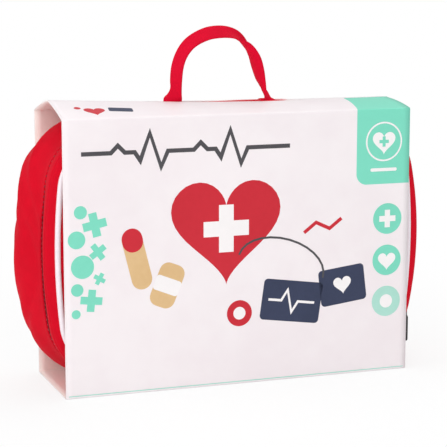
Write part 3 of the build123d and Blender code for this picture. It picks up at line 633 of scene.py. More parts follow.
class Loop:
    """A closed line round the case at one depth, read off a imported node's outside."""

    RAYS = 1440
    START = -math.pi / 2
    FAR = 0.4

    def __init__(self, tree: BVHTree, depth: float, middle: float) -> None:
        """Reads the line and spaces its points evenly, from the middle of the bottom.

        Args:
            tree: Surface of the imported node.
            depth: Y of the line.
            middle: Height of the case's middle.
        """
        self.depth = depth
        raw = []
        for step in range(self.RAYS):
            turn = self.START + 2 * math.pi * step / self.RAYS
            out = Vector((math.cos(turn), 0, math.sin(turn)))
            start = Vector((0, depth, middle)) + out * self.FAR
            hit = tree.ray_cast(start, -out)[0]
            if hit is not None:
                raw.append(hit)
        raw.append(raw[0])
        lengths = [0.0]
        for first, second in zip(raw, raw[1:]):
            lengths.append(lengths[-1] + (second - first).length)
        self.length = lengths[-1]
        self.points = []
        index = 0
        for step in range(self.RAYS):
            target = self.length * step / self.RAYS
            while lengths[index + 1] < target:
                index += 1
            span = max(lengths[index + 1] - lengths[index], 1e-9)
            self.points.append(raw[index].lerp(raw[index + 1], (target - lengths[index]) / span))

    def at(self, share: float, inset: float = 0.0, depth: float | None = None) -> Vector:
        """A point of the line.

        Args:
            share: How far round, from 0 to 1.
            inset: How far inside the line.
            depth: Y of the point, if it isn't the line's own.

        Returns:
            The point.
        """
        place = (share % 1.0) * self.RAYS
        number = int(place)
        first, second = self.points[number % self.RAYS], self.points[(number + 1) % self.RAYS]
        point = first.lerp(second, place - number)
        if inset:
            point = point - self.outward(share) * inset
        if depth is not None:
            point.y = depth
        return point

    def outward(self, share: float) -> Vector:
        """The direction away from the case, square to the line."""
        number = int((share % 1.0) * self.RAYS)
        reach = 6
        before = self.points[(number - reach) % self.RAYS]
        after = self.points[(number + reach) % self.RAYS]
        along = (after - before).normalized()
        return Vector((along.z, 0, -along.x))


@dataclass
class CaseForm:
    """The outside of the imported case, asked for by the share of the way round and the depth."""

    zip_depth: float = -19.6 * MM
    zip_half: float = 3.6 * MM
    seam_margin: float = 0.15 * MM

    def __post_init__(self) -> None:
        """Reads where the gussets start and end."""
        back_low, back_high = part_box("back_gusset")
        front_low, front_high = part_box("front_gusset")
        self.middle = (back_low.z + back_high.z) / 2
        self.back_range = (back_low.y, back_high.y)
        self.front_range = (front_low.y, front_high.y)
        self.trees = {"back": packed_tree("back_gusset"), "front": packed_tree("front_gusset")}
        self.loops: dict[float, Loop] = {}

    def loop(self, depth: float) -> Loop:
        """The line round the case at a depth, on the nearest cloth."""
        side = "front" if depth < self.zip_depth else "back"
        low, high = self.front_range if side == "front" else self.back_range
        held = min(max(depth, low + self.seam_margin), high - self.seam_margin)
        key = round(held / MM, 2)
        if key not in self.loops:
            self.loops[key] = Loop(self.trees[side], held, self.middle)
        return self.loops[key]

    def point(self, share: float, depth: float, inset: float = 0.0) -> Vector:
        """A point on the outside, or inside it by a distance."""
        return self.loop(depth).at(share, inset, depth)


FORM = CaseForm()


@dataclass(frozen=True)
class Crease:
    """A soft pulled crease across one end of the case."""

    height: float
    depth: float
    slant: float
    length: float
    width: float
    rise: float

    def lift(self, z: float, y: float) -> float:
        """How far the crease lifts the cloth at a height and depth."""
        dz, dy = z - self.height, y - self.depth
        along = dz * math.cos(self.slant) + dy * math.sin(self.slant)
        across = -dz * math.sin(self.slant) + dy * math.cos(self.slant)
        fade = math.exp(-((along / self.length) ** 4))
        return self.rise * fade * math.exp(-((across / self.width) ** 2))


@dataclass
class CaseShell:
    """The cloth of the case: gussets, panels, hinge cloth and piping."""

    columns: int = 420
    cloth: float = 1.0 * MM
    hem: float = 4.5 * MM
    fold_left_top: float = 0.9 * MM
    fold_right: float = 3.1 * MM
    fold_low: float = 4.0 * MM
    fold_low_front: float = 6.2 * MM
    piping_radius: float = 2.1 * MM
    panel_rise: float = 5.2 * MM
    panel_shoulder: float = 15.0 * MM
    pucker: float = 0.28 * MM
    puckers: int = 74
    pucker_grain: float = 130.0
    slack: float = 0.22 * MM
    slack_grain: float = 26.0
    crown: float = 3.2 * MM

    LEFT_CREASES = (
        Crease(0.150, -0.004, 0.42, 0.034, 0.0028, 1.5 * MM),
        Crease(0.142, 0.006, 0.50, 0.030, 0.0040, 1.7 * MM),
        Crease(0.128, 0.016, 0.62, 0.024, 0.0036, -1.5 * MM),
        Crease(0.112, -0.006, 0.30, 0.026, 0.0030, -1.3 * MM),
        Crease(0.086, 0.008, -0.34, 0.030, 0.0050, 1.2 * MM),
        Crease(0.058, 0.000, -0.52, 0.026, 0.0040, -1.3 * MM),
        Crease(0.046, 0.014, -0.60, 0.024, 0.0044, 0.9 * MM),
        Crease(0.165, 0.018, 0.75, 0.020, 0.0034, 0.8 * MM),
    )

    def fold_reach(self, share: float, low: float) -> float:
        """How far the folded edge beside the zip stands off the zip's middle line.

        Args:
            share: How far round the case.
            low: The reach in the lower left, where the zip shows most.

        Returns:
            The reach there.
        """
        point = FORM.loop(FORM.zip_depth - FORM.zip_half).at(share)
        upper = smooth_step(70 * MM, 165 * MM, point.z)
        left = smooth_step(20 * MM, -60 * MM, point.x)
        narrow = self.fold_left_top * upper + low * (1 - upper)
        return narrow * left + self.fold_right * (1 - left)

    def lift(self, point: Vector) -> float:
        """How far the cloth at a point stands proud of its plain form."""
        free = smooth_step(104 * MM, 128 * MM, abs(point.x))
        if free == 0.0:
            if point.z < FORM.middle:
                return 0.0
            near = 1 - smooth_step(46 * MM, 70 * MM, abs(point.x))
            return self.crown * near * math.exp(-(((point.y - 2 * MM) / (7 * MM)) ** 2))
        mirror = point.z if point.x < 0 else 2 * FORM.middle - point.z
        total = sum(crease.lift(mirror, point.y) for crease in self.LEFT_CREASES)
        total += 0.5 * MM * noise.noise(Vector((point.y * 55, point.z * 24, point.x * 8)))
        return total * free

    def band(
        self, name: str, stations: Callable[[float], list[tuple[float, float]]], free: bool
    ) -> bpy.types.Object:
        """A band of cloth all the way round the case.

        Args:
            name: Name of the piece.
            stations: Gives, for a share of the way round, the depth and inset of each row.
            free: Whether creases lift it.

        Returns:
            The band, as a thick sheet.
        """
        rows = len(stations(0.0)) - 1
        table = [stations(column / self.columns) for column in range(self.columns)]
        low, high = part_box("front_piping")
        seam = Loop(packed_tree("front_piping"), (low.y + high.y) / 2, FORM.middle)

        def place(column: int, row: int) -> Vector:
            share = column / self.columns
            depth, inset = table[column % self.columns][row]
            drawn = self.seam_pull(depth)
            if drawn > 0:
                point = FORM.point(share, depth, 0.0).lerp(seam.at(share, self.piping_radius, depth), drawn)
                point.y = depth
                return point
            point = FORM.point(share, depth, inset)
            if free and inset < 0.6 * MM:
                point += FORM.loop(depth).outward(share) * self.lift(point)
            return point

        width = sum(abs(b[0] - a[0]) + abs(b[1] - a[1]) for a, b in zip(table[0], table[0][1:]))
        sheet = lattice(self.columns, rows, place, (FORM.loop(0.0).length, width))
        piece = as_piece(name, sheet)
        wall(piece, self.cloth, even=False)
        return piece

    def seam_pull(self, depth: float) -> float:
        """How far the front gusset's cloth is drawn in to the piping's line at a depth."""
        reach = (FORM.front_range[0] + 0.4 * MM - depth) / (2.6 * MM)
        return max(0.0, min(1.0, reach)) ** 1.7

    def back_stations(self, share: float) -> list[tuple[float, float]]:
        """Rows of the wide gusset, from its turned hem at the zip to the back seam."""
        edge = FORM.zip_depth + self.fold_reach(share, self.fold_low)
        seam = FORM.back_range[1]
        hem = [(edge + self.hem, 2.3), (edge + 1.4 * MM, 2.2), (edge + 0.35 * MM, 1.7), (edge, 1.0),
               (edge + 0.25 * MM, 0.35), (edge + 0.9 * MM, 0.0)]
        steps = 30
        start, end = edge + 1.8 * MM, seam - 2.4 * MM
        body = [(start + (end - start) * step / steps, 0.0) for step in range(steps + 1)]
        close = [(seam - 1.3 * MM, 0.12), (seam - 0.5 * MM, 0.55), (seam + 0.1 * MM, 1.3), (seam + 0.4 * MM, 2.4)]
        return [(y, inset * (MM if inset > 0 else 1)) for y, inset in hem + body + close]

    def front_stations(self, share: float) -> list[tuple[float, float]]:
        """Rows of the narrow gusset, from the front seam to its turned hem at the zip."""
        edge = FORM.zip_depth - self.fold_reach(share, self.fold_low_front)
        seam = FORM.front_range[0]
        close = [(seam + (0.3 * step - 2.2) * MM, 0.0) for step in range(10)]
        steps = 8
        start, end = seam + 2.0 * MM, edge - 1.3 * MM
        tuck = seam + 1.35 * MM
        close += [(tuck - 0.4 * MM, 0.1), (tuck, 0.9), (tuck + 0.4 * MM, 0.1)]
        body = [(start + (end - start) * step / steps, 0.0) for step in range(steps + 1)]
        hem = [(edge - 0.9 * MM, 0.0), (edge - 0.25 * MM, 0.35), (edge, 1.0), (edge - 0.35 * MM, 1.7),
               (edge - 1.4 * MM, 2.2), (edge - self.hem, 2.3)]
        return [(y, inset * (MM if inset > 0 else 1)) for y, inset in close + body + hem]

    def piping(self, side: int) -> bpy.types.Object:
        """The white cord sewn into a seam; side is -1 for the front and 1 for the back."""
        node = "front_piping" if side < 0 else "back_piping"
        low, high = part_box(node)
        depth = (low.y + high.y) / 2
        line = Loop(packed_tree(node), depth, FORM.middle)
        around = 14

        def place(column: int, row: int) -> Vector:
            share = column / self.columns
            turn = 2 * math.pi * row / around
            radius = self.piping_radius * (1 + 0.02 * noise.noise(line.at(share) * 90))
            return line.at(share, self.piping_radius - radius * math.cos(turn), depth + radius * math.sin(turn))

        tube = lattice(self.columns, around, place, (line.length, 2 * math.pi * self.piping_radius))
        return as_piece("piping_front" if side < 0 else "piping_back", tube)

    def panel(self, side: int) -> bpy.types.Object:
        """A padded panel: drawn down and puckered along its seam, and full in its middle."""
        words = "front" if side < 0 else "back"
        low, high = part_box(f"{words}_piping")
        line = Loop(packed_tree(f"{words}_piping"), (low.y + high.y) / 2, FORM.middle)
        rings = 26
        middle = Vector((0, 0, FORM.middle))

        def place(column: int, row: int) -> Vector:
            share = column / self.columns
            border = line.at(share, self.piping_radius, 0.0)
            inward = (row / rings) ** 1.4
            point = border.lerp(middle, inward)
            reach = min((border - point).length / self.panel_shoulder, 1.0)
            rise = self.panel_rise * (1 - (1 - reach) ** 2.3) - 1.3 * MM
            wave = math.cos(2 * math.pi * self.puckers * share) + 0.6 * noise.noise(point * self.pucker_grain)
            rise += self.pucker * wave * math.sin(math.pi * min(reach * 1.3, 1.0)) ** 1.5
            rise += self.slack * noise.noise(point * self.slack_grain) * reach
            point.y = side * (abs(line.depth) + min(rise, self.panel_rise - 0.95 * MM))
            return point

        sheet = lattice(self.columns, rings, place, (line.length, 80 * MM))
        piece = as_piece(f"{words}_pad", sheet)
        wall(piece, self.cloth, even=False)
        return piece

    def hinge(self) -> bpy.types.Object:
        """The cloth under the zip that joins lid and base along the bottom."""
        line = FORM.loop(FORM.zip_depth - FORM.zip_half)
        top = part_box("lid_hinge_strip")[1].z
        shares = [step / 2000 for step in range(1000)]
        end = next(share for share in shares if line.at(share).z > top)
        columns, rows = 120, 6
        reach = self.fold_low + 2 * MM

        def place(column: int, row: int) -> Vector:
            share = end * (2 * column / columns - 1)
            depth = FORM.zip_depth + reach * (2 * row / rows - 1)
            return line.at(share, 0.9 * MM, depth)

        sheet = lattice(columns, rows, place, (2 * end * line.length, 2 * reach))
        piece = as_piece("hinge_cloth", sheet)
        wall(piece, self.cloth)
        return piece

    def build(self) -> None:
        """Makes and dresses every cloth piece of the case."""
        back = self.band("gusset_back", self.back_stations, True)
        settle(back, Body.CASE, Slot.CLOTH, [CLOTH], ["back_gusset"])
        front = self.band("gusset_front", self.front_stations, True)
        settle(front, Body.CASE, Slot.CLOTH, [CLOTH], ["front_gusset"])
        settle(self.hinge(), Body.CASE, Slot.CLOTH, [CLOTH], ["lid_hinge_strip"])
        for side, words in ((-1, "front"), (1, "back")):
            settle(self.piping(side), Body.CASE, Slot.PIPING, [PIPING], [f"{words}_piping"])
            pad = settle(self.panel(side), Body.CASE, Slot.CLOTH, [PANEL_CLOTH], [f"{words}_panel"])


@dataclass
class Zip:
    """The zip: woven tapes, teeth, stops, slider and puller."""

    columns: int = 420
    sink: float = 1.05 * MM
    reach: float = 5.6 * MM
    front_reach: float = 8.4 * MM
    tape: float = 0.5 * MM

    def tape_band(self, side: int) -> bpy.types.Object:
        """One tape, from the middle of the zip to under the fold beside it."""
        line = FORM.loop(FORM.zip_depth - FORM.zip_half)
        rows = 8
        reach = self.front_reach if side < 0 else self.reach

        def place(column: int, row: int) -> Vector:
            share = column / self.columns
            across = 0.1 * MM + (reach - 0.1 * MM) * row / rows
            return line.at(share, self.sink, FORM.zip_depth + side * across)

        sheet = lattice(self.columns, rows, place, (line.length, reach))
        piece = as_piece("tape_front" if side < 0 else "tape_back", sheet)
        wall(piece, self.tape)
        return piece

    def build(self) -> None:
        """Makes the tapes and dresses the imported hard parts."""
        for side, words in ((-1, "front"), (1, "back")):
            settle(self.tape_band(side), Body.CASE, Slot.TAPE, [TAPE_CLOTH], [f"zip_tape_{words}"])
        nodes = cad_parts
        dress(nodes["zip_teeth"], Slot.TEETH, [TEETH])
        dress(nodes["zip_stops"], Slot.METAL, [ZIP_METAL])
        dress(nodes["zip_slider"], Slot.METAL, [ZIP_METAL])
        dress(nodes["zip_puller_link"], Slot.METAL, [ZIP_METAL])
        dress(nodes["zip_puller_tab"], Slot.RUBBER, [RUBBER])


@dataclass
class CardSleeve:
    """The folded card sleeve with its slit."""

    card: float = 0.8 * MM
    fold: float = 1.2 * MM
    slit_length: float = 123.4 * MM
    slit_width: float = 3.4 * MM
    lip_drop: float = 0.6 * MM
    lip_rise: float = 0.2 * MM
    slit_x: float = 2.3 * MM
    columns: int = 52
    wall_rows: int = 26
    roof_rows: int = 14

    def __post_init__(self) -> None:
        """Reads the sleeve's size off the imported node."""
        low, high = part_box("card_sleeve")
        self.half_length = high.x
        self.half_depth = high.y
        self.tree = packed_tree("card_sleeve")

    def roof(self, x: float, y: float) -> float:
        """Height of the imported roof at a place, read beside the slit where it is open."""
        aside = 2.6 * MM
        held = y if abs(y) > aside else math.copysign(aside, y or 1.0)
        inside = min(abs(x), self.half_length - 0.05 * MM)
        hit = self.tree.ray_cast(Vector((math.copysign(inside, x), held, 1.0)), Vector((0, 0, -1)))[0]
        return hit.z + 0.13 * (aside - abs(y)) * (abs(y) < aside)

    def profile(self, x: float) -> list[tuple[float, float]]:
        """The section's points at a place along the sleeve, from the back's foot round the front."""
        depth, fold = self.half_depth, self.fold
        centre = depth - fold
        turns = [math.radians(22.5 * step) for step in range(5)]
        foot_back = [(centre + fold * math.cos(t), fold - fold * math.sin(t)) for t in turns]
        foot_front = [(-centre - fold * math.sin(t), fold - fold * math.cos(t)) for t in turns]
        bottom = [(centre * (1 - 2 * step / 8), 0.0) for step in range(1, 8)]
        top = self.roof(x, -centre)
        rise = top - fold - 1.0 * MM
        front = [(-depth, fold + rise * step / self.wall_rows) for step in range(1, self.wall_rows + 1)]
        shares = [0.004, 0.012, 0.03] + [step / self.roof_rows for step in range(1, self.roof_rows + 1)]
        roof_front = [(-depth * (1 - share), self.roof(x, -depth * (1 - share))) for share in shares]
        roof_back = [(-y, z) for y, z in reversed(roof_front[:-1])]
        back = [(depth, z) for _, z in reversed(front)]
        return foot_back + bottom + foot_front + front + roof_front + roof_back + back + [foot_back[0]]

    def stations(self) -> list[float]:
        """Places along the sleeve, with one at each end of the slit."""
        even = [self.half_length * (2 * step / self.columns - 1) for step in range(self.columns + 1)]
        for end in (self.slit_x - self.slit_length / 2, self.slit_x + self.slit_length / 2):
            nearest = min(range(len(even)), key=lambda number: abs(even[number] - end))
            even[nearest] = end
        return even

    def sheet(self) -> bpy.types.Object:
        """The card itself, with outer face, inner face and raw edges apart."""
        places = self.stations()
        profiles = [self.profile(x) for x in places]
        rows = len(profiles[0]) - 1

        def place(column: int, row: int) -> Vector:
            y, z = profiles[column][row]
            return Vector((places[column], y, z))

        sheet = lattice(self.columns, rows, place, (2 * self.half_length, 0.56))
        self.cut_slit(sheet)
        piece = as_piece("sleeve_card", sheet)
        wall(piece, self.card, inner=1, rim=2)
        return piece

    def cut_slit(self, sheet: bmesh.types.BMesh) -> None:
        """Opens the ridge between the slit's ends into a narrow lens."""
        half = self.slit_length / 2
        above = 0.15

        def on_slit(vert: bmesh.types.BMVert) -> bool:
            return abs(vert.co.y) < 1e-5 and vert.co.z > above and abs(vert.co.x - self.slit_x) < half + 1e-5

        edges = [e for e in sheet.edges if on_slit(e.verts[0]) and on_slit(e.verts[1])]
        bmesh.ops.split_edges(sheet, edges=edges)
        for vert in [v for v in sheet.verts if on_slit(v)]:
            centre = sum((f.calc_center_median().y for f in vert.link_faces)) / len(vert.link_faces)
            share = (vert.co.x - self.slit_x) / half
            lens = (1 - share * share) * (1 + 0.35 * share)
            vert.co.y += math.copysign(self.slit_width / 2 * lens, centre)
            vert.co.z += (self.lip_rise if centre > 0 else -self.lip_drop) * lens

    def build(self) -> None:
        """Makes and dresses the sleeve."""
        outside = CardFinish().material(self.half_depth)
        materials = [outside, SLEEVE_INSIDE, RAW_EDGE]
        settle(self.sheet(), Body.SLEEVE, Slot.CARD, materials, ["card_sleeve"])


@dataclass
class Handle:
    """The webbing handle that comes up through the slit."""

    width: float = 11.0 * MM
    thickness: float = 1.5 * MM
    rise: float = 47.5 * MM
    hinge: float = 202.4 * MM
    left: float = -38.0 * MM
    right: float = 34.6 * MM
    patch_reach: float = 10.0 * MM
    sections: int = 150

    # x in mm, share of the rise, direction and twist in degrees, width over the plain width,
    # and how far round its section is cupped, in degrees
    ROUTE = (
        (-38.0, -0.165, 90, 0, 1.0, 0),
        (-38.4, -0.06, 88, 0, 1.2, 0),
        (-38.2, 0.01, 84, -8, 1.22, 0),
        (-36.8, 0.07, 80, -30, 0.97, 0),
        (-35.8, 0.17, 88, -42, 0.82, 0),
        (-35.6, 0.30, 89, -50, 0.92, 8),
        (-34.6, 0.48, 80, -58, 1.02, 10),
        (-31.9, 0.65, 62, -57, 1.02, 10),
        (-27.0, 0.80, 46, -52, 1.02, 10),
        (-20.7, 0.90, 30, -47, 1.02, 8),
        (-12.0, 0.976, 14, -42, 1.02, 6),
        (-3.6, 1.0, 0, -41, 1.02, 8),
        (4.0, 0.983, -16, -45, 1.02, 40),
        (10.8, 0.918, -36, -57, 1.10, 100),
        (17.4, 0.785, -53, -84, 1.28, 155),
        (22.9, 0.60, -66, -112, 1.20, 100),
        (26.3, 0.42, -74, -116, 1.08, 50),
        (28.6, 0.24, -73, -104, 1.0, 60),
        (31.4, 0.09, -70, -70, 0.95, 95),
        (33.8, 0.0, -84, -40, 0.66, 40),
        (34.6, -0.06, -90, -10, 0.85, 8),
        (34.6, -0.165, -90, 0, 1.0, 0),
    )

    def station(self, share: float) -> tuple[float, float, float, float, float, float]:
        """The strap's place, direction, twist, width and cupping, between the route's points."""
        last = len(self.ROUTE) - 1
        place = share * last
        number = min(int(place), last - 1)
        inner = place - number
        around = [self.ROUTE[min(max(number + step, 0), last)] for step in (-1, 0, 1, 2)]
        values = []
        for before, start, end, after in zip(*around):
            slope_in, slope_out = (end - before) / 2, (after - start) / 2
            a = 2 * start - 2 * end + slope_in + slope_out
            b = -3 * start + 3 * end - 2 * slope_in - slope_out
            values.append(((a * inner + b) * inner + slope_in) * inner + start)
        return tuple(values)

    def section(self, share: float, across: float, lift: float) -> Vector:
        """A point of the strap's section.

        Args:
            share: How far along the strap.
            across: From -0.5 to 0.5 over its width.
            lift: From -0.5 to 0.5 through its thickness.

        Returns:
            The point.
        """
        x, rise, direction, twist, wide, cupped = self.station(share)
        turn = math.radians(direction)
        along = Vector((math.cos(turn), 0, math.sin(turn)))
        side = Vector((-math.sin(turn), 0, math.cos(turn)))
        turned = Matrix.Rotation(math.radians(twist), 3, along)
        centre = Vector((x * MM, 0, self.hinge + rise * self.rise))
        flat, through = turned @ side, turned @ Vector((0, 1, 0))
        bend = math.radians(max(cupped, 0.5))
        radius = self.width * wide / bend
        bow = radius * (math.cos(across * bend) - math.cos(bend / 4))
        level = radius * math.sin(across * bend)
        return centre + flat * level + through * (bow + lift * self.thickness)

    def strap(self) -> bpy.types.Object:
        """The strap: a band with rounded selvedges."""
        half = 0.5
        ring = [(-half, 0.0), (-0.485, 0.3), (-0.44, 0.46), (-0.25, 0.5), (0.0, 0.48), (0.25, 0.5), (0.44, 0.46),
                (0.485, 0.3), (half, 0.0), (0.485, -0.3), (0.44, -0.46), (0.25, -0.5), (0.0, -0.48), (-0.25, -0.5),
                (-0.44, -0.46), (-0.485, -0.3)]
        rows = len(ring)

        def place(column: int, row: int) -> Vector:
            across, lift = ring[row % rows]
            return self.section(column / self.sections, across, lift)

        band = lattice(self.sections, rows, place, (0.21, 2 * self.width))
        ends = [e for e in band.edges if e.is_boundary]
        bmesh.ops.edgeloop_fill(band, edges=ends)
        bmesh.ops.recalc_face_normals(band, faces=band.faces)
        return as_piece("handle_webbing", band)

    def patch(self, name: str, x: float) -> bpy.types.Object:
        """The end of the strap that is sewn flat on top of the case.

        Args:
            name: Name of the piece.
            x: Place of its middle.

        Returns:
            The patch.
        """
        columns, rows = 10, 22
        graph = bpy.context.evaluated_depsgraph_get()
        top = BVHTree.FromObject(bpy.data.objects["gusset_back"], graph)

        def place(column: int, row: int) -> Vector:
            spot_x = x + self.width * (column / columns - 0.5)
            spot_y = self.patch_reach * (2 * row / rows - 1)
            hit = top.ray_cast(Vector((spot_x, spot_y, 1.0)), Vector((0, 0, -1)))[0]
            edge = min(column, columns - column, row, rows - row)
            return Vector((spot_x, spot_y, hit.z + (0.9 if edge > 0 else 0.55) * MM))

        sheet = lattice(columns, rows, place, (self.width, 2 * self.patch_reach))
        piece = as_piece(name, sheet)
        wall(piece, 0.5 * MM)
        return piece

    def build(self) -> None:
        """Makes the strap, which comes up through the slit, and its sewn ends."""
        strap = self.strap()
        dress(strap, Slot.WEBBING, [WEBBING])
        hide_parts("handle_strap")
        for words, x in (("left", self.left), ("right", self.right)):
            patch = self.patch(f"strap_end_{words}", x)
            settle(patch, Body.CASE, Slot.WEBBING, [WEBBING], [f"handle_tab_{words}"])
        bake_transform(strap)
        LOG.info("made %s across the hinge of the handle", strap.name)


def outline_of(corners: Outline) -> bmesh.types.BMesh:
    """A flat shape in the XZ plane from the corners of its outline, split into small faces.

    Args:
        corners: Places in millimetres, in order.

    Returns:
        The shape, facing the front.
    """
    shape = bmesh.new()
    shape.faces.new([shape.verts.new((x * MM, 0, z * MM)) for x, z in corners])
    shape.normal_update()
    bmesh.ops.triangulate(shape, faces=shape.faces, ngon_method="EAR_CLIP")
    bmesh.ops.subdivide_edges(shape, edges=shape.edges, cuts=3, use_grid_fill=True)
    bmesh.ops.triangulate(shape, faces=shape.faces)
    return shape


def disc_outline(radius: float, count: int = 48) -> list[tuple[float, float]]:
    """Corners of a disc round the origin, in millimetres."""
    turns = [2 * math.pi * step / count for step in range(count)]
    return [(radius * math.cos(t), radius * math.sin(t)) for t in turns]


def heart_outline(width: float, count: int = 56) -> list[tuple[float, float]]:
    """Corners of a plump heart round the origin, in millimetres."""
    corners = []
    for step in range(count):
        t = 2 * math.pi * step / count
        x = 16 * math.sin(t) ** 3
        z = 13 * math.cos(t) - 5 * math.cos(2 * t) - 2 * math.cos(3 * t) - math.cos(4 * t)
        corners.append((x * width / 32, (z + 2) * width / 32))
    return corners


def plus_outline(size: float, arm: float) -> list[tuple[float, float]]:
    """Corners of a plus round the origin, in millimetres."""
    a, b = arm / 2, size / 2
    return [(a, b), (-a, b), (-a, a), (-b, a), (-b, -a), (-a, -a), (-a, -b), (a, -b), (a, -a), (b, -a), (b, a), (a, a)]


def slab_outline(width: float, height: float, corner: float) -> list[tuple[float, float]]:
    """Corners of a rounded rectangle round the origin, in millimetres."""
    corners = []
    for quarter, (sx, sz) in enumerate(((1, 1), (-1, 1), (-1, -1), (1, -1))):
        for step in range(7):
            t = math.pi / 2 * (quarter + step / 6)
            corners.append((
                sx * (width / 2 - corner) + corner * math.cos(t), sz * (height / 2 - corner) + corner * math.sin(t)
            ))
    return corners


def line_outline(points: Outline, width: float) -> Outline:
    """Corners of a bent line of even width, in millimetres.

    Args:
        points: The line's own corners.
        width: Its width.

    Returns:
        The corners of its outline.
    """
    left, right = [], []
    for number, (x, z) in enumerate(points):
        before, after = points[max(number - 1, 0)], points[min(number + 1, len(points) - 1)]
        into = Vector((x - before[0], z - before[1]))
        out = Vector((after[0] - x, after[1] - z))
        into, out = (into if into.length else out).normalized(), (out if out.length else into).normalized()
        mean = (into + out).normalized()
        reach = width / 2 / max(mean.dot(into), 0.45)
        left.append((x - mean.y * reach, z + mean.x * reach))
        right.append((x + mean.y * reach, z - mean.x * reach))
    return left + right[::-1]


def moved(corners: Outline, x: float, z: float, turn: float = 0.0) -> Outline:
    """Turns an outline by degrees about the origin and puts it at a place."""
    c, s = math.cos(math.radians(turn)), math.sin(math.radians(turn))
    return [(x + c * a - s * b, z + s * a + c * b) for a, b in corners]


